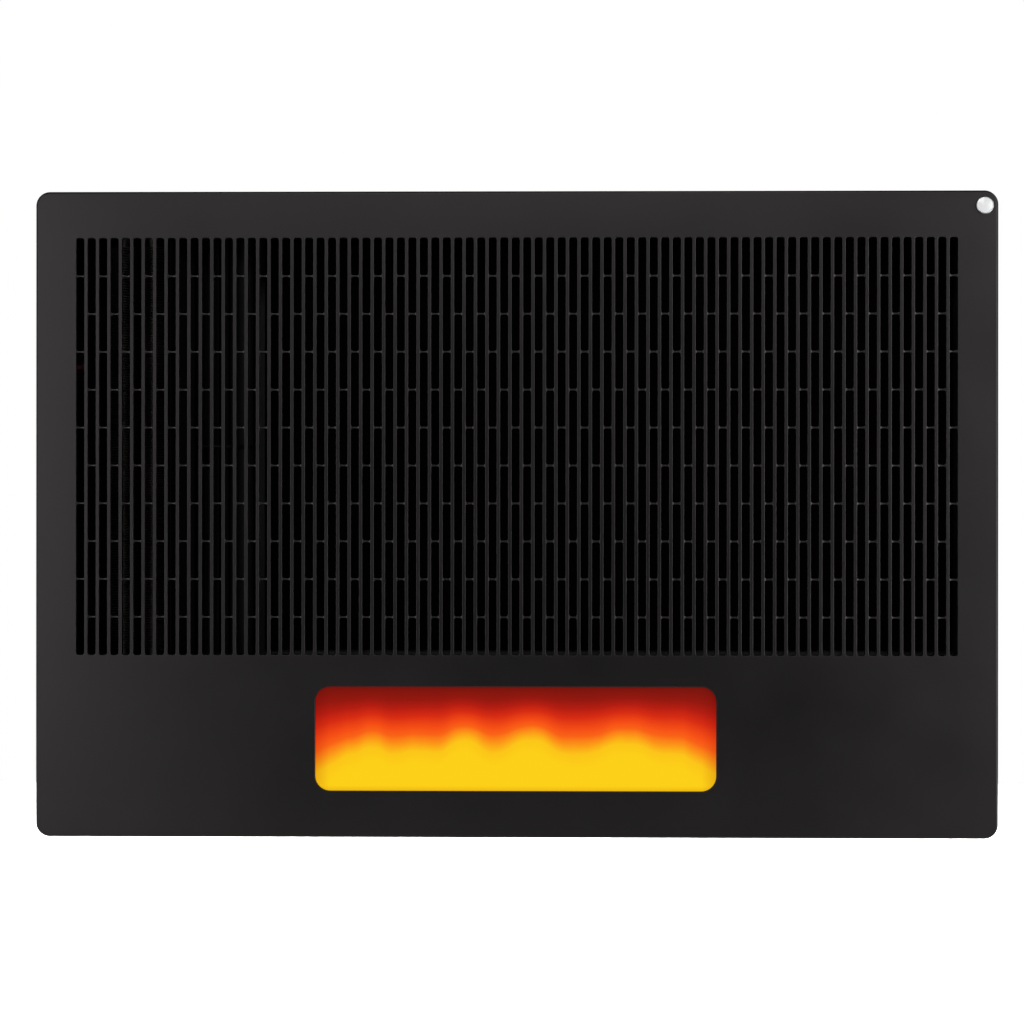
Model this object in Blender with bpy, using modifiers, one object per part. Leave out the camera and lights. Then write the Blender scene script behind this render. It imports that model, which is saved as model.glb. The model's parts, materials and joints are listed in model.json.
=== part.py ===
"""A wall-hung electric fireplace: a slotted front panel with a flame window, a blower heater and a flame box.

Metres, +Z up, the front faces -Y.
The origin is the centre of the wall bracket's back face, and the wall is y = 0.
"""

import math

import bmesh
import bpy
from mathutils import Matrix, Vector

# Overall sizes
PANEL_WIDTH = 0.960
PANEL_HEIGHT = 0.645
OVERALL_DEPTH = 0.130
PANEL_OVERHANG = 0.024

# Clearances
GAP = 0.0003
SHAFT_CLEARANCE = 0.0003
MOVING_CLEARANCE = 0.0006

# Front panel and its slots
PANEL_THICKNESS = 0.003
PANEL_CORNER_RADIUS = 0.014
RIM_DEPTH = 0.018
GRILLE_SIDE_MARGIN = 0.0405
GRILLE_TOP_MARGIN = 0.0465
GRILLE_BOTTOM_MARGIN = 0.182
SLOT_PITCH = 0.01146
SLOT_WIDTH = 0.0078
BRICK_PITCH = 0.0758
BRIDGE_THICKNESS = 0.002
WINDOW_WIDTH = 0.400
WINDOW_HEIGHT = 0.104
WINDOW_BOTTOM_MARGIN = 0.0465
WINDOW_CORNER_RADIUS = 0.015
BADGE_RADIUS = 0.0086
BADGE_INSET = 0.0137
BADGE_DROP = 0.0151
BADGE_HEIGHT = 0.0022

# Flame screen behind the window
SCREEN_THICKNESS = 0.003
SCREEN_OVERLAP = 0.008
FRAME_WIDTH = 0.011
FRAME_THICKNESS = 0.004

# Casing
SHEET = 0.0012
WALL_GAP = 0.011
PANEL_TO_CASING = 0.001
FLANGE = 0.015
BRACKET_WIDTH = 0.560
BRACKET_HEIGHT = 0.200
BRACKET_THICKNESS = 0.002
BRACKET_SCREW_WIDTH = 0.006
BRACKET_SCREW_LENGTH = 0.016
HOOK_SPACING = 0.360
HOOK_WIDTH = 0.030
HOOK_THICKNESS = 0.006
HOOK_LIP = 0.012
BUMPER_RADIUS = 0.010
BUMPER_INSET = 0.050
BUMPER_RISE = 0.0325
SHELF_DROP = 0.0103
SHELF_FLANGE = 0.010
VENT_WIDTH = 0.005
VENT_LENGTH = 0.045
VENT_PITCH = 0.014
VENT_COUNT = 12

# Panel studs and the clips that hold them
STUD_INSET = 0.0435
STUD_RADIUS = 0.0024
STUD_BULB_RADIUS = 0.0036
STUD_REACH = 0.015
STUD_HOLE_RADIUS = 0.0045
CLIP_WIDTH = 0.011
CLIP_HEIGHT = 0.020
CLIP_SHEET = 0.0008
CLIP_DEPTH = 0.0135

# Blower
BLOWER_INSET = 0.156
BLOWER_Y = -0.062
ROTOR_RADIUS = 0.030
ROTOR_DISC = 0.002
BLADE_COUNT = 18
BLADE_CHORD = 0.008
BLADE_THICKNESS = 0.0009
BLADE_TILT = math.radians(38)
SHAFT_RADIUS = 0.003
SCROLL_SHEET = 0.001
SCROLL_CLEARANCE = 0.0035
SCROLL_GROWTH = 0.0065
OUTLET_WIDTH = 0.084
ROTOR_END_GAP = 0.006
PLATE_TO_TOP = 0.0045
BEARING_RADIUS = 0.008
BEARING_LENGTH = 0.0055

# Blower motor
STATOR_DROP = 0.026
STATOR_STACK = 0.018
STATOR_WIDTH = 0.084
STATOR_DEPTH = 0.050
STATOR_BEYOND = 0.028
MOTOR_ROTOR_RADIUS = 0.015
AIR_GAP = 0.0006
CORE_LEG = 0.016
CORE_WINDOW = 0.016
COIL_WALL = 0.013
MOTOR_BRACKET_SHEET = 0.0015
MOTOR_BRACKET_RISE = 0.006
MOTOR_BRACKET_WIDTH = 0.016

# Heating element
HEATER_OFFSET = 0.0805
HEATER_Y = -0.105
LEG_SPACING = 0.029
FIN_RADIUS = 0.0135
SHEATH_RADIUS = 0.004
COLD_PIN = 0.026
BUSH_RADIUS = 0.007
CUTOUT_RADIUS = 0.008
CUTOUT_HEIGHT = 0.150
CUTOUT_Y = -0.075
RESET_RADIUS = 0.0022
RESET_PROUD = 0.0045

# Flame box
BOX_SHEET = 0.0015
BOX_SIDE = 0.022
BOX_BACK_Y = -0.036
BOX_FRONT_GAP = 0.0012
MASK_SETBACK = 0.024
FLICKER_Y = -0.062
FLICKER_HEIGHT = 0.0855
FLICKER_SHAFT_RADIUS = 0.002
VANE_LENGTH = 0.028
VANE_WIDTH = 0.030
VANE_THICKNESS = 0.0008
VANE_PITCH = 0.040
FLICKER_MOTOR_RADIUS = 0.025
FLICKER_MOTOR_LENGTH = 0.018
LAMP_BOARD_WIDTH = 0.012
LAMP_BOARD_THICKNESS = 0.0016
LAMP_PITCH = 0.030

# Controls on the right-hand side
CONTROL_DEPTH = 0.150
CONTROL_WALL = 0.002
CONTROL_TO_SIDE = 0.038
CONTROL_HEIGHT = 0.116
CONTROL_FRONT_Y = -0.105
CONTROL_BACK_Y = -0.042
BOARD_LIFT = 0.003
ROCKER_PITCH = 0.020
ROCKER_LENGTH = 0.0232
ROCKER_WIDTH = 0.0106
ROCKER_SWING = math.radians(20)
SWITCH_Y = -0.080
SWITCH_HEIGHT = 0.1025
BEZEL = 0.005
BEZEL_PROUD = 0.0017
SWITCH_BODY_DEPTH = 0.022
KNOB_HEIGHT = 0.0475
KNOB_RADIUS = 0.018
KNOB_LENGTH = 0.015
SPINDLE_RADIUS = 0.003
THERMOSTAT_SIDE = 0.030
THERMOSTAT_DEPTH = 0.0245
GLAND_RADIUS = 0.008
GLAND_BORE = 0.004
GLAND_X_INSET = 0.110
GLAND_Y = -0.025
LEAD_RADIUS = 0.002
LAMP_LEAD_RADIUS = 0.0015

# Places that follow from the sizes
FACE_Y = -OVERALL_DEPTH
PANEL_BACK_Y = FACE_Y + PANEL_THICKNESS
CASING_FRONT_Y = PANEL_BACK_Y + PANEL_TO_CASING
CASING_BACK_Y = -WALL_GAP
INSIDE_BACK_Y = CASING_BACK_Y - SHEET
HALF_PANEL = PANEL_WIDTH / 2
HALF_RISE = PANEL_HEIGHT / 2
CASE_X = HALF_PANEL - PANEL_OVERHANG
CASE_Z = HALF_RISE - PANEL_OVERHANG
INSIDE_X = CASE_X - SHEET
INSIDE_Z = CASE_Z - SHEET
GRILLE_TOP = HALF_RISE - GRILLE_TOP_MARGIN
GRILLE_BOTTOM = -HALF_RISE + GRILLE_BOTTOM_MARGIN
WINDOW_BOTTOM = -HALF_RISE + WINDOW_BOTTOM_MARGIN
WINDOW_TOP = WINDOW_BOTTOM + WINDOW_HEIGHT
SCREEN_X = WINDOW_WIDTH / 2 + SCREEN_OVERLAP
SCREEN_FRONT_Y = PANEL_BACK_Y + GAP
SCREEN_BACK_Y = SCREEN_FRONT_Y + SCREEN_THICKNESS
FRAME_FRONT_Y = SCREEN_BACK_Y + GAP
FRAME_BACK_Y = FRAME_FRONT_Y + FRAME_THICKNESS
SHELF_TOP = GRILLE_BOTTOM - SHELF_DROP
SHELF_BOTTOM = SHELF_TOP - SHEET
STUD_X = CASE_X - FLANGE / 2
STUD_Z = CASE_Z - STUD_INSET
BLOWER_X = -CASE_X + BLOWER_INSET
BASE_PLATE_BOTTOM = SHELF_TOP + GAP
BASE_PLATE_TOP = BASE_PLATE_BOTTOM + SHEET
TOP_PLATE_BOTTOM = INSIDE_Z - PLATE_TO_TOP
TOP_PLATE_TOP = TOP_PLATE_BOTTOM + SHEET
ROTOR_BOTTOM = BASE_PLATE_TOP + ROTOR_END_GAP
ROTOR_TOP = TOP_PLATE_BOTTOM - BEARING_LENGTH - ROTOR_END_GAP
TONGUE_X = BLOWER_X - ROTOR_RADIUS - 0.016
OUTLET_X = TONGUE_X - OUTLET_WIDTH
HEATER_X = BLOWER_X - HEATER_OFFSET
SCROLL_BACK_Y = INSIDE_BACK_Y - 0.0078
STATOR_TOP = SHELF_BOTTOM - STATOR_DROP
STATOR_BOTTOM = STATOR_TOP - STATOR_STACK
STATOR_LEFT = BLOWER_X - STATOR_BEYOND
STATOR_RIGHT = STATOR_LEFT + STATOR_WIDTH
BOX_X = WINDOW_WIDTH / 2 + BOX_SIDE
BOX_TOP = WINDOW_TOP + 0.016
BOX_BOTTOM = -INSIDE_Z + 0.0008
BOX_FRONT_Y = FRAME_BACK_Y + BOX_FRONT_GAP
MASK_Y = BOX_FRONT_Y + MASK_SETBACK
FLICKER_Z = BOX_BOTTOM + FLICKER_HEIGHT
FLICKER_MOTOR_X = BOX_X + GAP
BOARD_TOP = BOX_BOTTOM + BOX_SHEET + GAP + LAMP_BOARD_THICKNESS
CONTROL_RIGHT = CASE_X - CONTROL_TO_SIDE
CONTROL_LEFT = CONTROL_RIGHT - CONTROL_DEPTH
CONTROL_BOTTOM = -INSIDE_Z + 0.007
CONTROL_TOP = CONTROL_BOTTOM + CONTROL_HEIGHT
SWITCH_Z = -CASE_Z + SWITCH_HEIGHT
KNOB_Z = -CASE_Z + KNOB_HEIGHT
BEZEL_X = CASE_X + GAP + BEZEL_PROUD
GLAND_X = CASE_X - GLAND_X_INSET

parts = bpy.data.collections.new("electric_fireplace")
cutters = bpy.data.collections.new("cutters")


def clear_scene():
    for thing in list(bpy.data.objects):
        bpy.data.objects.remove(thing, do_unlink=True)
    bpy.context.scene.collection.children.link(parts)
    bpy.context.scene.collection.children.link(cutters)


def finish(name, colour, roughness, metallic=0.0):
    material = bpy.data.materials.new(name)
    material.use_nodes = True
    shader = material.node_tree.nodes["Principled BSDF"]
    shader.inputs["Base Color"].default_value = (*colour, 1.0)
    shader.inputs["Roughness"].default_value = roughness
    shader.inputs["Metallic"].default_value = metallic
    return material


BLACK_COAT = ("textured black coat", (0.018, 0.018, 0.019), 0.55)
CASING_COAT = ("black casing coat", (0.012, 0.012, 0.013), 0.6)
GALVANISED = ("galvanised sheet", (0.45, 0.46, 0.47), 0.42, 0.9)
STEEL = ("bright steel", (0.55, 0.55, 0.56), 0.28, 1.0)
SPRING_STEEL = ("spring steel", (0.20, 0.22, 0.26), 0.3, 1.0)
ALUMINIUM = ("aluminium", (0.72, 0.72, 0.73), 0.35, 1.0)
LAMINATIONS = ("motor laminations", (0.16, 0.15, 0.14), 0.5, 0.8)
COPPER = ("wound copper under tape", (0.45, 0.16, 0.05), 0.45, 0.4)
BRONZE = ("sintered bronze", (0.42, 0.26, 0.11), 0.5, 0.9)
CERAMIC = ("white ceramic", (0.78, 0.76, 0.70), 0.5)
BLACK_PLASTIC = ("black plastic", (0.015, 0.015, 0.016), 0.4)
WHITE_PLASTIC = ("white plastic", (0.75, 0.75, 0.73), 0.35)
RED_PLASTIC = ("red plastic", (0.50, 0.02, 0.01), 0.35)
HOUSING_COAT = ("black heat-proof coat", (0.010, 0.010, 0.010), 0.7)
DARK_ROTOR = ("black rotor coat", (0.012, 0.012, 0.013), 0.5)
HOT_STEEL = ("oxidised heater steel", (0.05, 0.045, 0.04), 0.55, 0.7)
RUBBER = ("black rubber", (0.02, 0.02, 0.02), 0.8)
FLAME = ("flame picture", (0.95, 0.30, 0.03), 0.3)
BOARD = ("green circuit board", (0.02, 0.16, 0.06), 0.4)
MIRROR = ("mirrored film", (0.80, 0.80, 0.82), 0.1, 1.0)
CABLE = ("grey cable sheath", (0.20, 0.20, 0.20), 0.5)


def block(low, high):
    """A recipe for a block between two opposite corners."""
    size = Vector(high) - Vector(low)
    middle = (Vector(high) + Vector(low)) / 2
    placing = Matrix.Translation(middle) @ Matrix.Diagonal((*size, 1.0))
    return lambda shape: bmesh.ops.create_cube(shape, size=1.0, matrix=placing)


def placed_block(size, placing):
    """A recipe for a block of this size, centred and turned by a matrix."""
    full = placing @ Matrix.Diagonal((*size, 1.0))
    return lambda shape: bmesh.ops.create_cube(shape, size=1.0, matrix=full)


def rod(start, end, radius, sides=20, end_radius=None):
    """A recipe for a round bar or a cone frustum between two points."""
    along = Vector(end) - Vector(start)
    turn = along.to_track_quat("Z", "Y").to_matrix().to_4x4()
    placing = Matrix.Translation((Vector(start) + Vector(end)) / 2) @ turn
    last = radius if end_radius is None else end_radius
    return lambda shape: bmesh.ops.create_cone(
        shape, cap_ends=True, segments=sides, radius1=radius, radius2=last, depth=along.length, matrix=placing
    )


def weld(shape):
    bmesh.ops.remove_doubles(shape, verts=shape.verts, dist=0.00001)


def mesh_from_curve(curve, placing):
    """The closed mesh of a curve, with its caps welded to its sides."""
    guide = bpy.data.objects.new("guide", curve)
    cutters.objects.link(guide)
    guide.matrix_world = placing
    bpy.context.view_layer.update()
    evaluated = guide.evaluated_get(bpy.context.evaluated_depsgraph_get())
    made = bpy.data.meshes.new_from_object(evaluated)
    made.transform(placing)
    bpy.data.objects.remove(guide, do_unlink=True)
    shape = bmesh.new()
    shape.from_mesh(made)
    weld(shape)
    shape.to_mesh(made)
    shape.free()
    return made


# Which way a flat outline's own X, Y and Z point when it is extruded along each axis
OUTLINE_FRAMES = {
    "X": Matrix(((0, 0, 1), (1, 0, 0), (0, 1, 0))),
    "Y": Matrix(((1, 0, 0), (0, 0, -1), (0, 1, 0))),
    "Z": Matrix.Identity(3),
}


def outline(loops, axis, low, high):
    """A recipe for flat outlines extruded between two planes.

    The outlines hold (y, z) points for X, (x, z) for Y and (x, y) for Z.
    """
    curve = bpy.data.curves.new("outline", "CURVE")
    curve.dimensions = "2D"
    curve.fill_mode = "BOTH"
    curve.extrude = (high - low) / 2
    for loop in loops:
        spline = curve.splines.new("POLY")
        spline.points.add(len(loop) - 1)
        for point, (across, up) in zip(spline.points, loop):
            point.co = (across, up, 0.0, 1.0)
        spline.use_cyclic_u = True
    halfway = (low + high) / 2
    middle = {"X": (halfway, 0, 0), "Y": (0, halfway, 0), "Z": (0, 0, halfway)}[axis]
    placing = Matrix.Translation(middle) @ OUTLINE_FRAMES[axis].to_4x4()
    made = mesh_from_curve(curve, placing)
    return lambda shape: shape.from_mesh(made)


def wire_curve(name, points, radius):
    curve = bpy.data.curves.new(name, "CURVE")
    curve.dimensions = "3D"
    curve.bevel_depth = radius
    curve.bevel_resolution = 2
    curve.use_fill_caps = True
    spline = curve.splines.new("POLY")
    spline.points.add(len(points) - 1)
    for point, place in zip(spline.points, points):
        point.co = (*place, 1.0)
    return curve


def rounded(low, high, radius, steps=4):
    """The points of a rectangle with round corners, as (across, up)."""
    loop = []
    centres = (
        (high[0] - radius, high[1] - radius),
        (low[0] + radius, high[1] - radius),
        (low[0] + radius, low[1] + radius),
        (high[0] - radius, low[1] + radius),
    )
    for quarter, (across, up) in enumerate(centres):
        for step in range(steps + 1):
            angle = math.pi / 2 * (quarter + step / steps)
            loop.append((across + radius * math.cos(angle), up + radius * math.sin(angle)))
    return loop


def rectangle(low, high):
    return [(low[0], low[1]), (high[0], low[1]), (high[0], high[1]), (low[0], high[1])]


def strip(path, thickness):
    """The outline of a bent sheet: the path offset by half the thickness to both sides."""
    left = []
    right = []
    for index, here in enumerate(path):
        before = Vector(path[max(index - 1, 0)])
        after = Vector(path[min(index + 1, len(path) - 1)])
        along = (after - before).normalized()
        aside = Vector((-along.y, along.x)) * thickness / 2
        left.append(tuple(Vector(here) + aside))
        right.append(tuple(Vector(here) - aside))
    return left + right[::-1]


def mesh_of(recipes, origin):
    shape = bmesh.new()
    for recipe in recipes:
        recipe(shape)
    bmesh.ops.translate(shape, verts=shape.verts, vec=-Vector(origin))
    bmesh.ops.recalc_face_normals(shape, faces=shape.faces)
    data = bpy.data.meshes.new("shape")
    shape.to_mesh(data)
    shape.free()
    return data


def helper(name, recipes, origin, turn):
    tool = bpy.data.objects.new(name, mesh_of(recipes, origin))
    tool.location = origin
    tool.rotation_euler = turn
    tool.hide_render = True
    tool.display_type = "WIRE"
    cutters.objects.link(tool)
    return tool


def part(name, look, base, joins=(), cuts=(), origin=(0, 0, 0), turn=(0, 0, 0), solver="EXACT"):
    """A named sub-part: the base shapes, with each group in joins added and each group in cuts taken away."""
    piece = bpy.data.objects.new(name, mesh_of(base, origin))
    piece.location = origin
    piece.rotation_euler = turn
    piece.data.materials.append(finish(*look))
    parts.objects.link(piece)
    for number, group in enumerate(joins):
        modifier = piece.modifiers.new(f"join {number}", "BOOLEAN")
        modifier.operation = "UNION"
        modifier.solver = solver
        modifier.object = helper(f"{name}_join_{number}", group, origin, turn)
    for number, group in enumerate(cuts):
        modifier = piece.modifiers.new(f"cut {number}", "BOOLEAN")
        modifier.operation = "DIFFERENCE"
        modifier.object = helper(f"{name}_cut_{number}", group, origin, turn)
    piece.data.shade_smooth()
    piece.data.set_sharp_from_angle(angle=math.radians(35))
    return piece


def turned(name, look, profile, origin, turn=(0, 0, 0), steps=20):
    """A turned sub-part: (radius, height) points spun round its own Z, outer side from top to bottom."""
    data = bpy.data.meshes.new(name)
    closed = profile[0][0] > 0 and profile[-1][0] > 0
    edges = [(i, i + 1) for i in range(len(profile) - 1)]
    if closed:
        edges.append((len(profile) - 1, 0))
    data.from_pydata([(radius, 0, height) for radius, height in profile], edges, [])
    piece = bpy.data.objects.new(name, data)
    piece.location = origin
    piece.rotation_euler = turn
    data.materials.append(finish(*look))
    spin = piece.modifiers.new("turn", "SCREW")
    spin.axis = "Z"
    spin.steps = steps
    spin.render_steps = steps
    spin.use_merge_vertices = True
    spin.merge_threshold = 0.00001
    spin.use_smooth_shade = True
    parts.objects.link(piece)
    return piece


def cable(name, points, radius):
    piece = bpy.data.objects.new(name, wire_curve(name, points, radius))
    piece.data.materials.append(finish(*CABLE))
    parts.objects.link(piece)
    return piece


def smooth_route(corners, steps=5):
    """Points along a route whose corners are rounded by short quadratic arcs."""
    route = [Vector(corners[0])]
    for before, here, after in zip(corners, corners[1:], corners[2:]):
        start = (Vector(before) + Vector(here)) / 2
        end = (Vector(here) + Vector(after)) / 2
        back = start - Vector(here)
        start = Vector(here) + back * min(1.0, 0.012 / max(back.length, 1e-6))
        end = Vector(here) + (end - Vector(here)) * min(1.0, 0.012 / max((end - Vector(here)).length, 1e-6))
        for step in range(steps + 1):
            t = step / steps
            route.append(start * (1 - t) ** 2 + Vector(here) * 2 * t * (1 - t) + end * t * t)
    route.append(Vector(corners[-1]))
    return [tuple(point) for point in route]


def slot_loops():
    """One loop for each slot: columns side by side, broken by bridges in running bond."""
    width = PANEL_WIDTH - 2 * GRILLE_SIDE_MARGIN
    height = GRILLE_TOP - GRILLE_BOTTOM
    columns = round(width / SLOT_PITCH)
    pitch = (width - SLOT_WIDTH) / (columns - 1)
    bricks = round(height / BRICK_PITCH - 0.5)
    brick = height / (bricks + 0.5)
    loops = []
    for column in range(columns):
        left = -width / 2 + column * pitch
        shift = 0.5 if column % 2 == 0 else 0.0
        joints = [GRILLE_TOP - (index + shift) * brick for index in range(bricks + 1)]
        levels = [level for level in joints if GRILLE_BOTTOM + 0.01 < level < GRILLE_TOP - 0.01]
        tops = [GRILLE_TOP] + [level - BRIDGE_THICKNESS / 2 for level in levels]
        bottoms = [level + BRIDGE_THICKNESS / 2 for level in levels] + [GRILLE_BOTTOM]
        for top, bottom in zip(tops, bottoms):
            loops.append(rectangle((left, bottom), (left + SLOT_WIDTH, top)))
    return loops


def make_front_panel():
    outer = rounded((-HALF_PANEL, -HALF_RISE), (HALF_PANEL, HALF_RISE), PANEL_CORNER_RADIUS)
    inset = PANEL_THICKNESS
    inner_radius = PANEL_CORNER_RADIUS - inset
    corner = (HALF_PANEL - inset, HALF_RISE - inset)
    inner = rounded((-corner[0], -corner[1]), corner, inner_radius)
    overlap = inset / 2
    plate = rounded(
        (-HALF_PANEL + overlap, -HALF_RISE + overlap),
        (HALF_PANEL - overlap, HALF_RISE - overlap),
        PANEL_CORNER_RADIUS - overlap,
    )
    window = rounded(
        (-WINDOW_WIDTH / 2, WINDOW_BOTTOM), (WINDOW_WIDTH / 2, WINDOW_TOP), WINDOW_CORNER_RADIUS
    )
    face = outline([plate, window, *slot_loops()], "Y", FACE_Y, PANEL_BACK_Y)
    rim = outline([outer, inner], "Y", FACE_Y, FACE_Y + RIM_DEPTH)
    # The exact solver leaves open edges on a face with this many slots, so another joins the rim
    part("front_panel", BLACK_COAT, [face], joins=[[rim]], solver="MANIFOLD")


def make_badge():
    """A plain domed disc; the dome is part of a sphere."""
    place = (HALF_PANEL - BADGE_INSET, FACE_Y - GAP, HALF_RISE - BADGE_DROP)
    edge = BADGE_HEIGHT * 0.35
    profile = [(0.0, BADGE_HEIGHT)]
    for step in range(1, 5):
        reach = step / 4
        profile.append((BADGE_RADIUS * reach, edge + (BADGE_HEIGHT - edge) * math.cos(reach * math.pi / 2)))
    profile += [(BADGE_RADIUS, 0.0), (0.0, 0.0)]
    turned("badge", WHITE_PLASTIC, profile, place, turn=(math.pi / 2, 0, 0))


def make_screen():
    low = WINDOW_BOTTOM - SCREEN_OVERLAP
    high = WINDOW_TOP + SCREEN_OVERLAP
    pane = outline([rounded((-SCREEN_X, low), (SCREEN_X, high), 0.008)], "Y", SCREEN_FRONT_Y, SCREEN_BACK_Y)
    part("flame_screen", FLAME, [pane])
    reach = FRAME_WIDTH - SCREEN_OVERLAP
    ring_out = rounded((-SCREEN_X - reach, low - reach), (SCREEN_X + reach, high + reach), 0.008)
    inside = SCREEN_X - SCREEN_OVERLAP
    ring_in = rounded((-inside, WINDOW_BOTTOM), (inside, WINDOW_TOP), WINDOW_CORNER_RADIUS)
    ring = outline([ring_out, ring_in], "Y", FRAME_FRONT_Y, FRAME_BACK_Y)
    part("screen_frame", BLACK_PLASTIC, [ring])


def make_panel_fixings():
    """Four studs on the panel's back, each in a clip on the casing's side flange."""
    for side, sign_x in (("left", -1), ("right", 1)):
        for end, sign_z in (("bottom", -1), ("top", 1)):
            x = sign_x * STUD_X
            z = sign_z * STUD_Z
            base_y = PANEL_BACK_Y + GAP
            profile = [
                (0.0, STUD_REACH),
                (STUD_BULB_RADIUS * 0.55, STUD_REACH - 0.0005),
                (STUD_BULB_RADIUS, STUD_REACH - 0.003),
                (STUD_RADIUS, STUD_REACH - 0.0055),
                (STUD_RADIUS, 0.003),
                (STUD_HOLE_RADIUS - 0.0008, 0.002),
                (STUD_HOLE_RADIUS - 0.0008, 0.0),
                (0.0, 0.0),
            ]
            turned(f"panel_stud_{end}_{side}", STEEL, profile, (x, base_y, z), (-math.pi / 2, 0, 0), steps=12)
            back = CASING_FRONT_Y + SHEET + GAP
            half = CLIP_WIDTH / 2
            reach = CLIP_HEIGHT / 2
            finger = STUD_BULB_RADIUS + MOVING_CLEARANCE
            plate = block((x - half, back, z - reach), (x + half, back + CLIP_SHEET, z + reach))
            fingers = [
                block(
                    (x - half, back + CLIP_SHEET / 2, min(z + s * finger, z + s * (finger + CLIP_SHEET))),
                    (x + half, back + CLIP_DEPTH, max(z + s * finger, z + s * (finger + CLIP_SHEET))),
                )
                for s in (-1, 1)
            ]
            hole = rod((x, back - 0.001, z), (x, back + 0.001, z), STUD_BULB_RADIUS + 0.0004, sides=16)
            part(f"spring_clip_{end}_{side}", SPRING_STEEL, [plate], joins=[fingers], cuts=[[hole]])


def make_wall_bracket():
    half_x = BRACKET_WIDTH / 2
    half_z = BRACKET_HEIGHT / 2
    plate = block((-half_x, -BRACKET_THICKNESS, -half_z), (half_x, 0, half_z))
    screws = []
    for x in (-0.4 * BRACKET_WIDTH, 0.4 * BRACKET_WIDTH):
        for z in (-0.32 * BRACKET_HEIGHT, 0.32 * BRACKET_HEIGHT):
            low = (x - BRACKET_SCREW_LENGTH / 2, z - BRACKET_SCREW_WIDTH / 2)
            high = (x + BRACKET_SCREW_LENGTH / 2, z + BRACKET_SCREW_WIDTH / 2)
            loop = rounded(low, high, BRACKET_SCREW_WIDTH / 2 - 0.00005)
            screws.append(outline([loop], "Y", -2 * BRACKET_THICKNESS, BRACKET_THICKNESS))
    necks = []
    lips = []
    for x in (-HOOK_SPACING / 2, HOOK_SPACING / 2):
        left = x - HOOK_WIDTH / 2
        right = x + HOOK_WIDTH / 2
        tip = INSIDE_BACK_Y - 0.0035
        bottom = half_z - 0.010
        necks.append(block((left, tip, bottom), (right, -BRACKET_THICKNESS / 2, bottom + HOOK_THICKNESS)))
        lips.append(
            block((left, tip, bottom + 0.001), (right, tip + 0.0015, bottom + HOOK_THICKNESS + HOOK_LIP))
        )
    part("wall_bracket", GALVANISED, [plate], joins=[necks, lips], cuts=[screws])


def make_wall_bumpers():
    for side, sign in (("left", -1), ("right", 1)):
        x = sign * (CASE_X - BUMPER_INSET)
        z = -CASE_Z + BUMPER_RISE
        profile = [
            (0.0, CASING_BACK_Y * -1 - GAP),
            (BUMPER_RADIUS, CASING_BACK_Y * -1 - GAP),
            (BUMPER_RADIUS, 0.002),
            (BUMPER_RADIUS - 0.002, 0.0),
            (0.0, 0.0),
        ]
        turned(f"wall_bumper_{side}", RUBBER, profile, (x, 0, z), turn=(math.pi / 2, 0, 0))


def make_casing():
    back = block((-CASE_X, INSIDE_BACK_Y, -CASE_Z), (CASE_X, CASING_BACK_Y, CASE_Z))
    slots = []
    neck_top = BRACKET_HEIGHT / 2 - 0.010 + HOOK_THICKNESS + GAP
    for x in (-HOOK_SPACING / 2, HOOK_SPACING / 2):
        half = HOOK_WIDTH / 2 + 0.001
        low = (x - half, INSIDE_BACK_Y - 0.001, neck_top - HOOK_LIP - HOOK_THICKNESS - 0.002)
        slots.append(block(low, (x + half, CASING_BACK_Y + 0.001, neck_top)))
    part("casing_back", CASING_COAT, [back], cuts=[slots])

    rear = INSIDE_BACK_Y - GAP
    for name, sign in (("casing_top", 1), ("casing_bottom", -1)):
        reach = INSIDE_X - GAP
        web = block(
            (-reach, CASING_FRONT_Y, min(sign * INSIDE_Z, sign * CASE_Z)),
            (reach, rear, max(sign * INSIDE_Z, sign * CASE_Z)),
        )
        inner = sign * (CASE_Z - FLANGE)
        outer = sign * (CASE_Z - SHEET / 2)
        flange = block(
            (-reach, CASING_FRONT_Y, min(inner, outer)), (reach, CASING_FRONT_Y + SHEET, max(inner, outer))
        )
        part(name, CASING_COAT, [web], joins=[[flange]], cuts=bottom_cuts() if sign < 0 else ())

    for name, sign in (("casing_left", -1), ("casing_right", 1)):
        web = block(
            (min(sign * INSIDE_X, sign * CASE_X), CASING_FRONT_Y, -CASE_Z),
            (max(sign * INSIDE_X, sign * CASE_X), rear, CASE_Z),
        )
        inner = sign * (CASE_X - FLANGE)
        outer = sign * (CASE_X - SHEET / 2)
        reach = CASE_Z - FLANGE - GAP
        flange = block(
            (min(inner, outer), CASING_FRONT_Y, -reach), (max(inner, outer), CASING_FRONT_Y + SHEET, reach)
        )
        holes = [
            rod(
                (sign * STUD_X, CASING_FRONT_Y - 0.001, z),
                (sign * STUD_X, CASING_FRONT_Y + SHEET + 0.001, z),
                STUD_HOLE_RADIUS,
                sides=16,
            )
            for z in (-STUD_Z, STUD_Z)
        ]
        cuts = [holes, side_openings(sign)]
        part(name, CASING_COAT, [web], joins=[[flange]], cuts=cuts)


def bottom_cuts():
    """The notch for the screen, the gland's hole and a row of cooling slots in the casing's bottom."""
    notch = block(
        (-BOX_X, CASING_FRONT_Y - 0.001, -CASE_Z + SHEET + 0.0005),
        (BOX_X, CASING_FRONT_Y + SHEET + 0.001, -CASE_Z + FLANGE + 0.001),
    )
    low = -CASE_Z - 0.001
    high = -INSIDE_Z + 0.001
    hole = rod((GLAND_X, GLAND_Y, low), (GLAND_X, GLAND_Y, high), GLAND_RADIUS - 0.002)
    vents = []
    for index in range(VENT_COUNT):
        x = (index - (VENT_COUNT - 1) / 2) * VENT_PITCH - (CASE_X + BOX_X) / 2
        vents.append(block((x, -0.085, low), (x + VENT_WIDTH, -0.085 + VENT_LENGTH, high)))
    return [[notch], [hole], vents]


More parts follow.
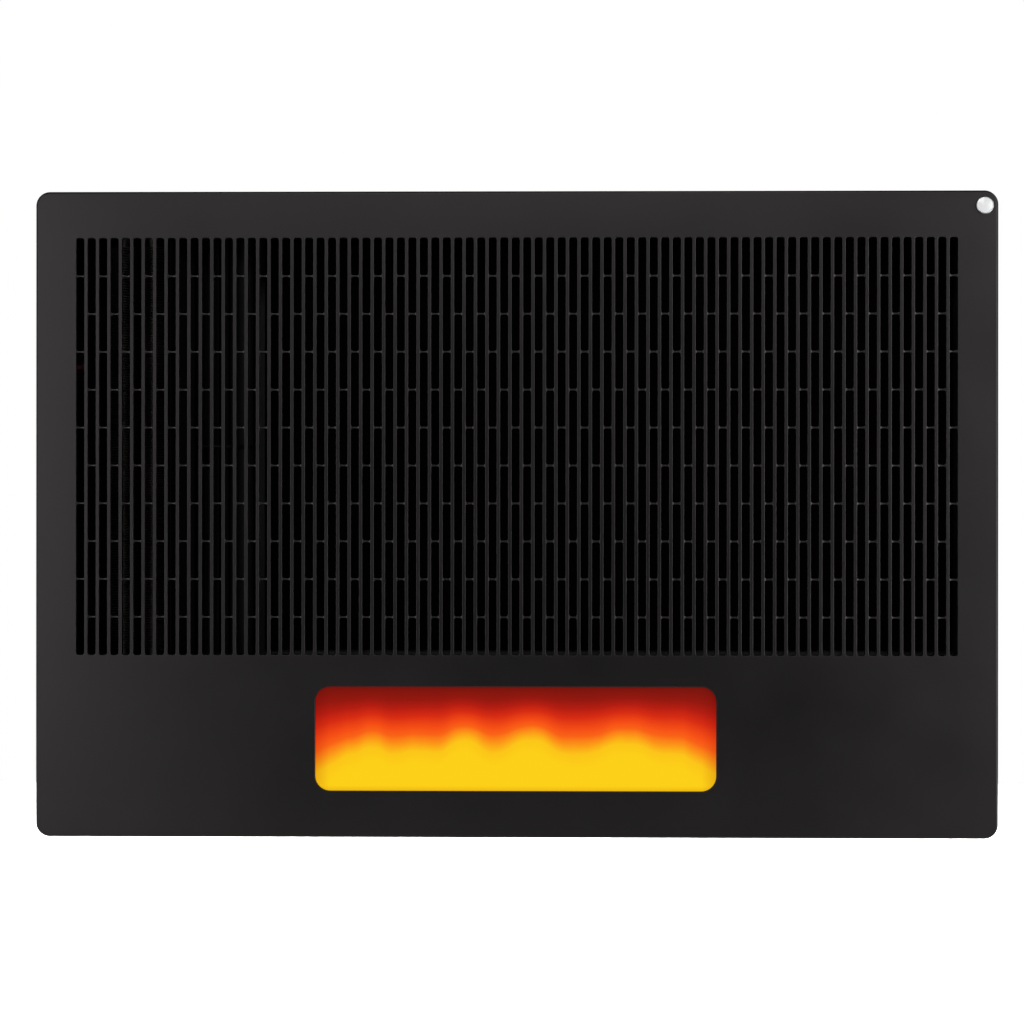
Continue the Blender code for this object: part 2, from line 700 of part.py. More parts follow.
def side_openings(sign):
    """What each side is cut for: the reset button on the left, the switches and the spindle on the right."""
    outside = sign * (CASE_X + 0.001)
    inside = sign * (INSIDE_X - 0.001)
    if sign < 0:
        ends = [(x, CUTOUT_Y, CUTOUT_HEIGHT) for x in (outside, inside)]
        return [rod(*ends, RESET_RADIUS + 0.001)]
    half_y, half_z = switch_half_sizes()
    return [
        block((inside, SWITCH_Y - half_y - GAP, SWITCH_Z - half_z - GAP),
              (outside, SWITCH_Y + half_y + GAP, SWITCH_Z + half_z + GAP)),
        rod((inside, SWITCH_Y, KNOB_Z), (outside, SWITCH_Y, KNOB_Z), SPINDLE_RADIUS + 0.002),
    ]


def make_divider_shelf():
    reach = INSIDE_X - GAP
    front = CASING_FRONT_Y + SHEET + 0.0008
    web = block((-reach, front, SHELF_BOTTOM), (reach, INSIDE_BACK_Y - GAP, SHELF_TOP))
    side = STUD_X - CLIP_WIDTH
    lip = block((-side, front, SHELF_BOTTOM + SHEET / 2), (side, front + SHEET, SHELF_BOTTOM + SHELF_FLANGE))
    holes = through_holes(SHELF_BOTTOM - 0.001, SHELF_TOP + 0.0001)
    part("divider_shelf", HOUSING_COAT, [web], joins=[[lip]], cuts=[holes])


def through_holes(low, high):
    """Holes for the blower's shaft and the element's two bushes."""
    holes = [rod((BLOWER_X, BLOWER_Y, low), (BLOWER_X, BLOWER_Y, high), BEARING_RADIUS)]
    for x in leg_places():
        holes.append(rod((x, HEATER_Y, low), (x, HEATER_Y, high), BUSH_RADIUS + GAP))
    return holes


def leg_places():
    return (HEATER_X - LEG_SPACING / 2, HEATER_X + LEG_SPACING / 2)


def scroll_path():
    """The bent sheet round the rotor: a growing spiral, a flat back, a round turn and the outlet's side."""
    path = []
    for step in range(9):
        share = step / 8
        angle = math.radians(20 + 95 * share)
        reach = ROTOR_RADIUS + SCROLL_CLEARANCE + SCROLL_GROWTH * share
        path.append((BLOWER_X + reach * math.cos(angle), BLOWER_Y + reach * math.sin(angle)))
    turn = 0.030
    for step in range(7):
        angle = math.pi / 2 * (1 + step / 6)
        centre = (OUTLET_X + turn, SCROLL_BACK_Y - turn)
        path.append((centre[0] + turn * math.cos(angle), centre[1] + turn * math.sin(angle)))
    path.append((OUTLET_X, CASING_FRONT_Y + SHEET + 0.002))
    return path


def make_blower_housing():
    low = BASE_PLATE_TOP + GAP
    high = TOP_PLATE_BOTTOM - GAP
    scroll = outline([strip(scroll_path(), SCROLL_SHEET)], "Z", low, high)
    part("blower_scroll", HOUSING_COAT, [scroll])

    angle = math.radians(215)
    reach = ROTOR_RADIUS + SCROLL_CLEARANCE + 0.001
    tip = (BLOWER_X + reach * math.cos(angle), BLOWER_Y + reach * math.sin(angle))
    path = [(TONGUE_X, CASING_FRONT_Y + SHEET + 0.002), (TONGUE_X, tip[1] - 0.012), tip]
    tongue = outline([strip(path, SCROLL_SHEET)], "Z", low, high)
    part("blower_tongue", HOUSING_COAT, [tongue])

    left = OUTLET_X - 0.004
    right = BLOWER_X + ROTOR_RADIUS + 0.012
    front = CASING_FRONT_Y + SHEET + 0.002 + 0.0018
    back = INSIDE_BACK_Y - 0.0015
    base = block((left, front, BASE_PLATE_BOTTOM), (right, back, BASE_PLATE_TOP))
    holes = through_holes(BASE_PLATE_BOTTOM - 0.0001, BASE_PLATE_TOP + 0.001)
    part("blower_base_plate", HOUSING_COAT, [base], cuts=[holes])
    top = block((left, front, TOP_PLATE_BOTTOM), (right, back, TOP_PLATE_TOP))
    neck = rod(
        (BLOWER_X, BLOWER_Y, TOP_PLATE_BOTTOM - 0.001), (BLOWER_X, BLOWER_Y, TOP_PLATE_TOP + 0.001), 0.0045
    )
    part("blower_top_plate", HOUSING_COAT, [top], cuts=[[neck]])

    bore = SHAFT_RADIUS + SHAFT_CLEARANCE
    bearing_top = TOP_PLATE_BOTTOM - GAP
    profile = [
        (bore, BEARING_LENGTH - GAP),
        (BEARING_RADIUS, BEARING_LENGTH - GAP),
        (BEARING_RADIUS, 0.0025),
        (BEARING_RADIUS - 0.002, 0.0),
        (bore, 0.0),
    ]
    place = (BLOWER_X, BLOWER_Y, bearing_top - BEARING_LENGTH + GAP)
    turned("top_bearing", BRONZE, profile, place)


def make_blower_rotor():
    """The drum turns about its own Z: blades between three discs, bored for the shaft."""
    axis = Matrix.Translation((BLOWER_X, BLOWER_Y, (ROTOR_BOTTOM + ROTOR_TOP) / 2))
    height = ROTOR_TOP - ROTOR_BOTTOM
    blades = []
    for index in range(BLADE_COUNT):
        around = Matrix.Rotation(2 * math.pi * index / BLADE_COUNT, 4, "Z")
        outward = Matrix.Translation((ROTOR_RADIUS - 0.0045, 0, 0))
        tilt = Matrix.Rotation(BLADE_TILT, 4, "Z")
        size = (BLADE_CHORD, BLADE_THICKNESS, height - ROTOR_DISC)
        blades.append(placed_block(size, axis @ around @ outward @ tilt))
    discs = []
    for level in (ROTOR_BOTTOM, (ROTOR_BOTTOM + ROTOR_TOP - ROTOR_DISC) / 2, ROTOR_TOP - ROTOR_DISC):
        discs.append(rod((BLOWER_X, BLOWER_Y, level), (BLOWER_X, BLOWER_Y, level + ROTOR_DISC), ROTOR_RADIUS))
    low = (BLOWER_X, BLOWER_Y, ROTOR_BOTTOM - 0.001)
    high = (BLOWER_X, BLOWER_Y, ROTOR_TOP + 0.001)
    bore = rod(low, high, SHAFT_RADIUS + SHAFT_CLEARANCE, sides=12)
    origin = (BLOWER_X, BLOWER_Y, ROTOR_BOTTOM)
    part("blower_rotor", DARK_ROTOR, blades, joins=[discs], cuts=[[bore]], origin=origin)

    start = STATOR_BOTTOM - MOTOR_BRACKET_RISE - MOTOR_BRACKET_SHEET - 0.004
    shaft = rod(
        (BLOWER_X, BLOWER_Y, start), (BLOWER_X, BLOWER_Y, TOP_PLATE_TOP + 0.0012), SHAFT_RADIUS, sides=12
    )
    part("blower_shaft", STEEL, [shaft], origin=origin)


def make_blower_motor():
    """A shaded-pole motor under the shelf: its shaft is the blower's."""
    front = BLOWER_Y - STATOR_DEPTH / 2
    back = BLOWER_Y + STATOR_DEPTH / 2
    stack = block((STATOR_LEFT, front, STATOR_BOTTOM), (STATOR_RIGHT, back, STATOR_TOP))
    below = STATOR_BOTTOM - 0.001
    above = STATOR_TOP + 0.001
    ends = [(BLOWER_X, BLOWER_Y, z) for z in (below, above)]
    bore = rod(*ends, MOTOR_ROTOR_RADIUS + AIR_GAP, sides=24)
    leg_left = STATOR_RIGHT - CORE_LEG
    margin = 0.010
    window = block((leg_left - CORE_WINDOW, front + margin, below), (leg_left, back - margin, above))
    part("motor_stator", LAMINATIONS, [stack], cuts=[[bore, window]])

    wall = COIL_WALL
    coil = block(
        (leg_left - wall, front + margin + GAP, STATOR_BOTTOM - wall),
        (STATOR_RIGHT + wall, back - margin - GAP, STATOR_TOP + wall),
    )
    leg = block(
        (leg_left - GAP, front, STATOR_BOTTOM - GAP), (STATOR_RIGHT + GAP, back, STATOR_TOP + GAP)
    )
    part("motor_coil", COPPER, [coil], cuts=[[leg]])

    shaft_bore = SHAFT_RADIUS + SHAFT_CLEARANCE
    low = (BLOWER_X, BLOWER_Y, STATOR_BOTTOM - 0.001)
    high = (BLOWER_X, BLOWER_Y, STATOR_TOP + 0.001)
    core = rod(low, high, MOTOR_ROTOR_RADIUS, sides=24)
    hole = rod((*low[:2], low[2] - 0.001), (*high[:2], high[2] + 0.001), shaft_bore, sides=12)
    part("motor_rotor", ALUMINIUM, [core], cuts=[[hole]], origin=low)

    brackets = (("motor_upper_bracket", STATOR_TOP, 1), ("motor_lower_bracket", STATOR_BOTTOM, -1))
    for name, face, sign in brackets:
        half = MOTOR_BRACKET_WIDTH / 2
        span = MOTOR_ROTOR_RADIUS + AIR_GAP + 0.009
        near = face + sign * GAP
        web_in = face + sign * MOTOR_BRACKET_RISE
        web_out = web_in + sign * MOTOR_BRACKET_SHEET
        web = block(
            (BLOWER_X - span, BLOWER_Y - half, min(web_in, web_out)),
            (BLOWER_X + span, BLOWER_Y + half, max(web_in, web_out)),
        )
        legs = []
        for s in (-1, 1):
            edge = BLOWER_X + s * span
            inner = edge - s * MOTOR_BRACKET_SHEET
            reach = SHELF_BOTTOM - GAP if sign > 0 else web_out + MOTOR_BRACKET_SHEET / 2
            legs.append(
                block((min(edge, inner), BLOWER_Y - half, min(near, reach)),
                      (max(edge, inner), BLOWER_Y + half, max(near, reach)))
            )
        hole = rod(
            (BLOWER_X, BLOWER_Y, min(web_in, web_out) - 0.001),
            (BLOWER_X, BLOWER_Y, max(web_in, web_out) + 0.001),
            shaft_bore,
        )
        part(name, GALVANISED, [web], joins=[legs], cuts=[[hole]])


def make_heater():
    """A finned hairpin standing on two ceramic bushes in the blower's outlet."""
    left, right = leg_places()
    radius = LEG_SPACING / 2
    bend = TOP_PLATE_BOTTOM - 0.0018 - SHEATH_RADIUS - radius
    bottom = BASE_PLATE_BOTTOM - COLD_PIN
    route = [(left, HEATER_Y, bottom)]
    for step in range(13):
        angle = math.pi * (1 - step / 12)
        route.append((HEATER_X + radius * math.cos(angle), HEATER_Y, bend + radius * math.sin(angle)))
    route.append((right, HEATER_Y, bottom))
    sheath = mesh_from_curve(wire_curve("sheath", route, SHEATH_RADIUS), Matrix.Identity(4))
    fins = [
        rod((x, HEATER_Y, BASE_PLATE_TOP + 0.0125), (x, HEATER_Y, bend - 0.003), FIN_RADIUS)
        for x in (left, right)
    ]
    part("heating_element", HOT_STEEL, [lambda shape: shape.from_mesh(sheath)], joins=[fins])
    for side, x in (("left", left), ("right", right)):
        profile = [
            (SHEATH_RADIUS + GAP, 0.0165),
            (BUSH_RADIUS - 0.001, 0.0165),
            (BUSH_RADIUS, 0.0155),
            (BUSH_RADIUS, 0.0),
            (SHEATH_RADIUS + GAP, 0.0),
        ]
        turned(f"heater_bush_{side}", CERAMIC, profile, (x, HEATER_Y, SHELF_BOTTOM - 0.006), steps=16)


def make_cutout():
    """The over-heat cut-out on the outlet's side; its reset button comes out through the left side."""
    wall = OUTLET_X - SCROLL_SHEET / 2 - GAP
    outer = wall - 0.0125
    body = rod((wall, CUTOUT_Y, CUTOUT_HEIGHT), (outer, CUTOUT_Y, CUTOUT_HEIGHT), CUTOUT_RADIUS)
    pocket = rod(
        (outer - 0.001, CUTOUT_Y, CUTOUT_HEIGHT),
        (outer + 0.0065, CUTOUT_Y, CUTOUT_HEIGHT),
        RESET_RADIUS + MOVING_CLEARANCE,
        sides=16,
    )
    part("thermal_cutout", BLACK_PLASTIC, [body], cuts=[[pocket]])
    tip = -CASE_X - RESET_PROUD
    origin = (tip, CUTOUT_Y, CUTOUT_HEIGHT)
    button = rod(origin, (outer + 0.0035, CUTOUT_Y, CUTOUT_HEIGHT), RESET_RADIUS, sides=16)
    part("reset_button", RED_PLASTIC, [button], origin=origin)


def make_flame_box():
    shell = block((-BOX_X, BOX_FRONT_Y, BOX_BOTTOM), (BOX_X, BOX_BACK_Y, BOX_TOP))
    hollow = block(
        (-BOX_X + BOX_SHEET, BOX_FRONT_Y - 0.001, BOX_BOTTOM + BOX_SHEET),
        (BOX_X - BOX_SHEET, BOX_BACK_Y - BOX_SHEET, BOX_TOP - BOX_SHEET),
    )
    left = rod((-BOX_X - 0.001, FLICKER_Y, FLICKER_Z), (-BOX_X + 0.003, FLICKER_Y, FLICKER_Z), 0.0063)
    right = rod((BOX_X + 0.001, FLICKER_Y, FLICKER_Z), (BOX_X - 0.003, FLICKER_Y, FLICKER_Z), 0.004)
    lead_y, lead_z = lamp_lead_place()
    wire = rod((BOX_X + 0.001, lead_y, lead_z), (BOX_X - 0.003, lead_y, lead_z), LAMP_LEAD_RADIUS + 0.0006)
    part("light_box", WHITE_PLASTIC, [shell], cuts=[[hollow], [left, right, wire]])

    bore = FLICKER_SHAFT_RADIUS + SHAFT_CLEARANCE
    place = (-BOX_X - 0.0035, FLICKER_Y, FLICKER_Z)
    profile = [(bore, 0.0085), (0.0055, 0.0085), (0.006, 0.008), (0.006, 0.0), (bore, 0.0)]
    turned("flicker_bush", RUBBER, profile, place, turn=(0, math.pi / 2, 0), steps=16)

    body = rod(
        (FLICKER_MOTOR_X, FLICKER_Y, FLICKER_Z),
        (FLICKER_MOTOR_X + FLICKER_MOTOR_LENGTH, FLICKER_Y, FLICKER_Z),
        FLICKER_MOTOR_RADIUS,
        sides=28,
    )
    socket = rod(
        (FLICKER_MOTOR_X - 0.001, FLICKER_Y, FLICKER_Z),
        (FLICKER_MOTOR_X + 0.009, FLICKER_Y, FLICKER_Z),
        bore,
        sides=16,
    )
    part("flicker_motor", GALVANISED, [body], cuts=[[socket]])

    start = (-BOX_X - 0.005, FLICKER_Y, FLICKER_Z)
    end = (FLICKER_MOTOR_X + 0.0075, FLICKER_Y, FLICKER_Z)
    shaft = rod(start, end, FLICKER_SHAFT_RADIUS, sides=12)
    count = int((2 * BOX_X - 0.04) / VANE_PITCH)
    vanes = []
    for index in range(count):
        x = (index - (count - 1) / 2) * VANE_PITCH
        middle = Matrix.Translation((x, FLICKER_Y, FLICKER_Z))
        turn = Matrix.Rotation(math.radians(54 * index), 4, "X")
        vanes.append(placed_block((VANE_WIDTH, VANE_THICKNESS, VANE_LENGTH), middle @ turn))
    part("flicker_rotor", MIRROR, [shaft], joins=[vanes], origin=(0, FLICKER_Y, FLICKER_Z))


def flame_edge(x):
    """The height of the mask's cut above the window's bottom edge, a row of unequal humps."""
    wave = 0.62 + 0.14 * math.sin(x * 62 + 0.6) + 0.08 * math.sin(x * 135 + 1.9)
    return WINDOW_BOTTOM + WINDOW_HEIGHT * wave


def make_flame_mask():
    reach = BOX_X - BOX_SHEET - GAP
    low = BOX_BOTTOM + BOX_SHEET + GAP
    sheet = rectangle((-reach, low), (reach, BOX_TOP - BOX_SHEET - GAP))
    half = WINDOW_WIDTH / 2
    count = 24
    flame = [(-half, WINDOW_BOTTOM), (half, WINDOW_BOTTOM)]
    for index in range(count + 1):
        x = half - 2 * half * index / count
        flame.append((x, flame_edge(x)))
    part("flame_mask", MIRROR, [outline([sheet, flame], "Y", MASK_Y, MASK_Y + 0.0008)])


def make_lamp_board():
    middle = MASK_Y + 0.019
    half = WINDOW_WIDTH / 2 - 0.005
    low = BOARD_TOP - LAMP_BOARD_THICKNESS
    edge = LAMP_BOARD_WIDTH / 2
    base = block((-half, middle - edge, low), (half, middle + edge, BOARD_TOP))
    count = int((2 * half - 0.02) / LAMP_PITCH)
    lamps = []
    for index in range(count):
        x = (index - (count - 1) / 2) * LAMP_PITCH
        lamps.append(
            block(
                (x - 0.0025, middle - 0.0025, BOARD_TOP - 0.0005),
                (x + 0.0025, middle + 0.0025, BOARD_TOP + 0.0015),
            )
        )
    part("lamp_board", WHITE_PLASTIC, [base], joins=[lamps])


def make_control_box():
    box = block((CONTROL_LEFT, CONTROL_FRONT_Y, CONTROL_BOTTOM), (CONTROL_RIGHT, CONTROL_BACK_Y, CONTROL_TOP))
    wall = CONTROL_WALL
    hollow = block(
        (CONTROL_LEFT + wall, CONTROL_FRONT_Y - 0.001, CONTROL_BOTTOM + wall),
        (CONTROL_RIGHT - wall, CONTROL_BACK_Y - wall, CONTROL_TOP - wall),
    )
    part("control_box", BLACK_PLASTIC, [box], cuts=[[hollow]])
    lid_back = CONTROL_FRONT_Y - GAP
    lid = outline(
        [rounded((CONTROL_LEFT, CONTROL_BOTTOM), (CONTROL_RIGHT, CONTROL_TOP), 0.003)],
        "Y",
        lid_back - wall,
        lid_back,
    )
    part("control_lid", BLACK_PLASTIC, [lid])

    back = CONTROL_BACK_Y - wall - BOARD_LIFT
    face = back - 0.0016
    edge = wall + 0.003
    card = block(
        (CONTROL_LEFT + edge, face, CONTROL_BOTTOM + edge),
        (CONTROL_RIGHT - edge, back, CONTROL_TOP - edge),
    )
    relay_x = CONTROL_RIGHT - 0.035
    relay = block(
        (relay_x, face - 0.018, CONTROL_TOP - 0.050),
        (relay_x + 0.020, face + 0.0005, CONTROL_TOP - 0.022),
    )
    posts = block(
        (CONTROL_LEFT + 0.015, face - 0.012, CONTROL_BOTTOM + 0.010),
        (CONTROL_LEFT + 0.075, face + 0.0005, CONTROL_BOTTOM + 0.022),
    )
    can = rod(
        (relay_x - 0.015, face + 0.0005, CONTROL_BOTTOM + 0.030),
        (relay_x - 0.015, face - 0.020, CONTROL_BOTTOM + 0.030),
        0.006,
        sides=16,
    )
    part("control_board", BOARD, [card], joins=[[relay, posts, can]])
    core = block(
        (CONTROL_LEFT + 0.014, face - GAP - 0.030, CONTROL_TOP - 0.045),
        (CONTROL_LEFT + 0.052, face - GAP, CONTROL_TOP - 0.013),
    )
    part("transformer", LAMINATIONS, [core])


def switch_half_sizes():
    """Half the switch bank's size along Y and Z, where it passes the casing's side."""
    return ROCKER_PITCH + ROCKER_WIDTH / 2 + 0.0042, ROCKER_LENGTH / 2 + 0.0049


def make_switches():
    half_y, half_z = switch_half_sizes()
    body = block(
        (BEZEL_X - SWITCH_BODY_DEPTH, SWITCH_Y - half_y, SWITCH_Z - half_z),
        (CASE_X + GAP + BEZEL_PROUD / 2, SWITCH_Y + half_y, SWITCH_Z + half_z),
    )
    face = block(
        (CASE_X + GAP, SWITCH_Y - half_y - BEZEL / 2, SWITCH_Z - half_z - BEZEL / 2),
        (BEZEL_X, SWITCH_Y + half_y + BEZEL / 2, SWITCH_Z + half_z + BEZEL / 2),
    )
    pivot_x = BEZEL_X - 0.0015
    places = [SWITCH_Y + ROCKER_PITCH * step for step in (-1, 0, 1)]
    bays = [
        block(
            (pivot_x - 0.010, y - ROCKER_WIDTH / 2, SWITCH_Z - ROCKER_LENGTH / 2),
            (BEZEL_X + 0.001, y + ROCKER_WIDTH / 2, SWITCH_Z + ROCKER_LENGTH / 2),
        )
        for y in places
    ]
    part("switch_bank", BLACK_PLASTIC, [body], joins=[[face]], cuts=[bays])

    half = ROCKER_WIDTH / 2 - 0.0003
    reach = ROCKER_LENGTH / 2 - 0.0010
    for name, y in zip(("rocker_power", "rocker_flame", "rocker_heat"), places):
        loop = [
            (pivot_x + 0.0032, SWITCH_Z + reach),
            (pivot_x + 0.0014, SWITCH_Z),
            (pivot_x + 0.0032, SWITCH_Z - reach),
            (pivot_x + 0.0004, SWITCH_Z - reach),
            (pivot_x - 0.0055, SWITCH_Z - reach * 0.6),
            (pivot_x - 0.0070, SWITCH_Z),
            (pivot_x - 0.0055, SWITCH_Z + reach * 0.6),
            (pivot_x + 0.0004, SWITCH_Z + reach),
        ]
        rocker = outline([loop], "Y", y - half, y + half)
        off = (0, -ROCKER_SWING / 2, 0)
        part(name, BLACK_PLASTIC, [rocker], origin=(pivot_x, y, SWITCH_Z), turn=off)


def make_thermostat():
    half = THERMOSTAT_SIDE / 2
    inner = INSIDE_X - GAP
    body = block(
        (inner - THERMOSTAT_DEPTH, SWITCH_Y - half, KNOB_Z - half),
        (inner, SWITCH_Y + half, KNOB_Z + half),
    )
    bore = rod(
        (inner - 0.0125, SWITCH_Y, KNOB_Z),
        (inner + 0.001, SWITCH_Y, KNOB_Z),
        SPINDLE_RADIUS + SHAFT_CLEARANCE,
    )
    part("thermostat_body", BLACK_PLASTIC, [body], cuts=[[bore]])

    knob_back = CASE_X + 0.001
    origin = (knob_back, SWITCH_Y, KNOB_Z)
    spindle_tip = knob_back + KNOB_LENGTH - 0.002
    ends = [(x, SWITCH_Y, KNOB_Z) for x in (inner - 0.011, spindle_tip)]
    spindle = rod(*ends, SPINDLE_RADIUS, sides=12)
    part("thermostat_spindle", STEEL, [spindle], origin=origin)

    disc = rod(origin, (knob_back + 0.005, SWITCH_Y, KNOB_Z), KNOB_RADIUS, sides=28)
    grip = block(
        (knob_back + 0.004, SWITCH_Y - 0.004, KNOB_Z - KNOB_RADIUS + 0.001),
        (knob_back + KNOB_LENGTH, SWITCH_Y + 0.004, KNOB_Z + KNOB_RADIUS - 0.001),
    )
    ends = [(x, SWITCH_Y, KNOB_Z) for x in (knob_back + 0.004, knob_back + KNOB_LENGTH - 0.0005)]
    hub = rod(*ends, 0.009)
    socket = rod(
        (knob_back - 0.001, SWITCH_Y, KNOB_Z),
        (spindle_tip + GAP, SWITCH_Y, KNOB_Z),
        SPINDLE_RADIUS + SHAFT_CLEARANCE,
        sides=12,
    )
    part("thermostat_knob", BLACK_PLASTIC, [disc], joins=[[grip], [hub]], cuts=[[socket]], origin=origin)


def make_gland():
    """The mains inlet in the casing's bottom, bored for a cord, with a flange outside and a nut inside."""
    low = -CASE_Z
    high = -INSIDE_Z
    neck = GLAND_RADIUS - 0.002 - GAP
    profile = [
        (GLAND_BORE, high + 0.0065 - (low - 0.0085)),
        (GLAND_RADIUS, high + 0.0065 - (low - 0.0085)),
        (GLAND_RADIUS, high + GAP - (low - 0.0085)),
        (neck, high + GAP - (low - 0.0085)),
        (neck, 0.0085 - GAP),
        (GLAND_RADIUS, 0.0085 - GAP),
        (GLAND_RADIUS, 0.003),
        (GLAND_RADIUS - 0.0015, 0.0),
        (GLAND_BORE, 0.0),
    ]
    turned("cable_gland", BLACK_PLASTIC, profile, (GLAND_X, GLAND_Y, low - 0.0085), steps=20)


def lamp_lead_place():
    """The Y and Z of the lamp lead where it passes the light box's right side."""
    return MASK_Y + 0.0175, BOARD_TOP + LAMP_LEAD_RADIUS + 0.0006


def make_leads():
    """The leads inside the casing: each ends face to face with what it feeds."""
    behind = (BOX_BACK_Y + INSIDE_BACK_Y) / 2
    entry_x = CONTROL_LEFT - GAP
    turn_x = BOX_X + 0.016
    low_left, low_right = leg_places()
    pin = BASE_PLATE_BOTTOM - COLD_PIN - GAP
    runs = (
        ("heater_lead_left", low_left, BOX_BOTTOM + 0.010),
        ("heater_lead_right", low_right, BOX_BOTTOM + 0.020),
    )
    for name, x, level in runs:
        corners = [
            (x, HEATER_Y, pin),
            (x, HEATER_Y, pin - 0.030),
            (x + 0.010, behind, level),
            (turn_x, behind, level),
            (entry_x - 0.010, CONTROL_BACK_Y - 0.020, level),
            (entry_x, CONTROL_BACK_Y - 0.020, level),
        ]
        cable(name, smooth_route(corners), LEAD_RADIUS)
    coil_x = STATOR_RIGHT - CORE_LEG / 2
    coil_bottom = STATOR_BOTTOM - COIL_WALL - GAP
    level = BOX_BOTTOM + 0.032
    corners = [
        (coil_x, BLOWER_Y, coil_bottom),
        (coil_x, BLOWER_Y, coil_bottom - 0.020),
        (coil_x + 0.010, behind, level),
        (turn_x, behind, level),
        (entry_x - 0.010, CONTROL_BACK_Y - 0.020, level),
        (entry_x, CONTROL_BACK_Y - 0.020, level),
    ]
    cable("motor_lead", smooth_route(corners), LEAD_RADIUS)
    y, z = lamp_lead_place()
    corners = [
        (entry_x, y, z + 0.008),
        (entry_x - 0.012, y, z + 0.008),
        (BOX_X + 0.008, y, z),
        (BOX_X - 0.030, y, z),
    ]
    cable("lamp_lead", smooth_route(corners), LAMP_LEAD_RADIUS)


def main():
    clear_scene()
    make_front_panel()
    make_badge()
    make_screen()
    make_panel_fixings()
    make_wall_bracket()
    make_wall_bumpers()
    make_casing()
    make_divider_shelf()
    make_blower_housing()
    make_blower_rotor()
    make_blower_motor()
    make_heater()
    make_cutout()
    make_flame_box()
    make_flame_mask()
    make_lamp_board()
    make_control_box()
    make_switches()
    make_thermostat()
    make_gland()
    make_leads()


main()
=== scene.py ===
"""The looks of a wall-hung electric fireplace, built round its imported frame.

Metres, +Z up, the front faces -Y and the wall is y = 0. Sizes come from the frame's own boxes, or are named
where they are used.
"""
import json
import math

import bmesh
import bpy
from mathutils import Matrix, Vector
from mathutils.geometry import tessellate_polygon


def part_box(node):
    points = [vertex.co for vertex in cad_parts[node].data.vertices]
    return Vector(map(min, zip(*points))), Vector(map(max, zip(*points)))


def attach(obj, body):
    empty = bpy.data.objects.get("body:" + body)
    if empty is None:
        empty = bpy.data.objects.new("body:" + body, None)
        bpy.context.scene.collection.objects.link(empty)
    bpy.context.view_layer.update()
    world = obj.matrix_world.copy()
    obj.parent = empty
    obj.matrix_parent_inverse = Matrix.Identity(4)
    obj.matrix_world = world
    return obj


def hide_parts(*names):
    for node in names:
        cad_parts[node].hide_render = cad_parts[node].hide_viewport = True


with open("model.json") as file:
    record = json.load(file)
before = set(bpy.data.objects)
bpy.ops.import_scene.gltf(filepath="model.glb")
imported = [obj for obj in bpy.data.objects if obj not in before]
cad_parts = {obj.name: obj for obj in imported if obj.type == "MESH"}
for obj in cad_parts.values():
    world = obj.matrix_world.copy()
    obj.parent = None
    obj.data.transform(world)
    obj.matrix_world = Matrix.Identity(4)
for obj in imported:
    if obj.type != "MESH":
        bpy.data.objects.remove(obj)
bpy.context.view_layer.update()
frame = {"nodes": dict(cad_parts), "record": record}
NODE_BODY = {node: body for body, nodes in frame["record"]["behaviour"]["bodies"].items() for node in nodes}

# Front panel: places read from the frame, and the sizes of what the frame leaves plain
PANEL_LOW, PANEL_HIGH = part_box("front_panel")
FACE_Y = PANEL_LOW[1]
RIM_BACK_Y = PANEL_HIGH[1]
SHEET = 0.003
CORNER_RADIUS = 0.014
EDGE_ROUND = 0.0022
RIM_WALL = 0.0025
GRILLE_SIDE_MARGIN = 0.0405
GRILLE_TOP_MARGIN = 0.0465
GRILLE_BOTTOM_MARGIN = 0.182
SLOT_PITCH = 0.01146
SLOT_WIDTH = 0.0078
SLOT_CORNER = 0.0021
SLOT_ROUND = 0.0007
BRICK_PITCH = 0.0758
BRIDGE_HALF = 0.00095
BRIDGE_FILLET = 0.0019
BRIDGE_SETBACK = 0.0019
BRIDGE_DEPTH = 0.0022
GRILLE_PAD = 0.0030
GRILLE_DEPTH = 0.0062
WINDOW_WIDTH = 0.400
WINDOW_HEIGHT = 0.104
WINDOW_BOTTOM_MARGIN = 0.0465
WINDOW_CORNER = 0.015
WINDOW_ROUND = 0.0009

GRILLE_LEFT = PANEL_LOW[0] + GRILLE_SIDE_MARGIN
GRILLE_RIGHT = PANEL_HIGH[0] - GRILLE_SIDE_MARGIN
GRILLE_TOP = PANEL_HIGH[2] - GRILLE_TOP_MARGIN
GRILLE_BOTTOM = PANEL_LOW[2] + GRILLE_BOTTOM_MARGIN
WINDOW_BOTTOM = PANEL_LOW[2] + WINDOW_BOTTOM_MARGIN
WINDOW_TOP = WINDOW_BOTTOM + WINDOW_HEIGHT

# Painted flame glow: (middle, height of the yellow above the window's bottom, half width) of each tongue
FLAME_TONGUES = (
    (-0.1430, 0.0440, 0.017),
    (-0.0960, 0.0385, 0.024),
    (-0.0520, 0.0500, 0.023),
    (0.0150, 0.0510, 0.026),
    (0.1110, 0.0480, 0.030),
    (0.1560, 0.0350, 0.020),
)
FLAME_BASE = 0.0265
FLAME_END_DROP = 0.018
# The picture's colour at each share of the way from the yellow's edge up to the window's top
FLAME_RAMP = (
    (-0.20, (0.973, 0.624, 0.007)),
    (0.00, (0.965, 0.560, 0.007)),
    (0.15, (0.963, 0.290, 0.007)),
    (0.27, (0.950, 0.122, 0.006)),
    (0.39, (0.900, 0.068, 0.005)),
    (0.54, (0.680, 0.023, 0.004)),
    (0.68, (0.450, 0.010, 0.003)),
    (0.80, (0.290, 0.007, 0.0024)),
    (1.00, (0.170, 0.005, 0.0018)),
)

# Camera: straight at the front, at the distance where the view is as wide as the picture it matches
FOCAL_LENGTH = 85.0
SENSOR = 36.0
VIEW_WIDTH = 1.0209
VIEW_CENTRE = (-0.0035, 0.0024)
VIEW_ROLL = math.radians(0.03)
VIEW_YAW = math.radians(1.0)
FLOOR_Z = -0.90


# ---------------------------------------------------------------- materials

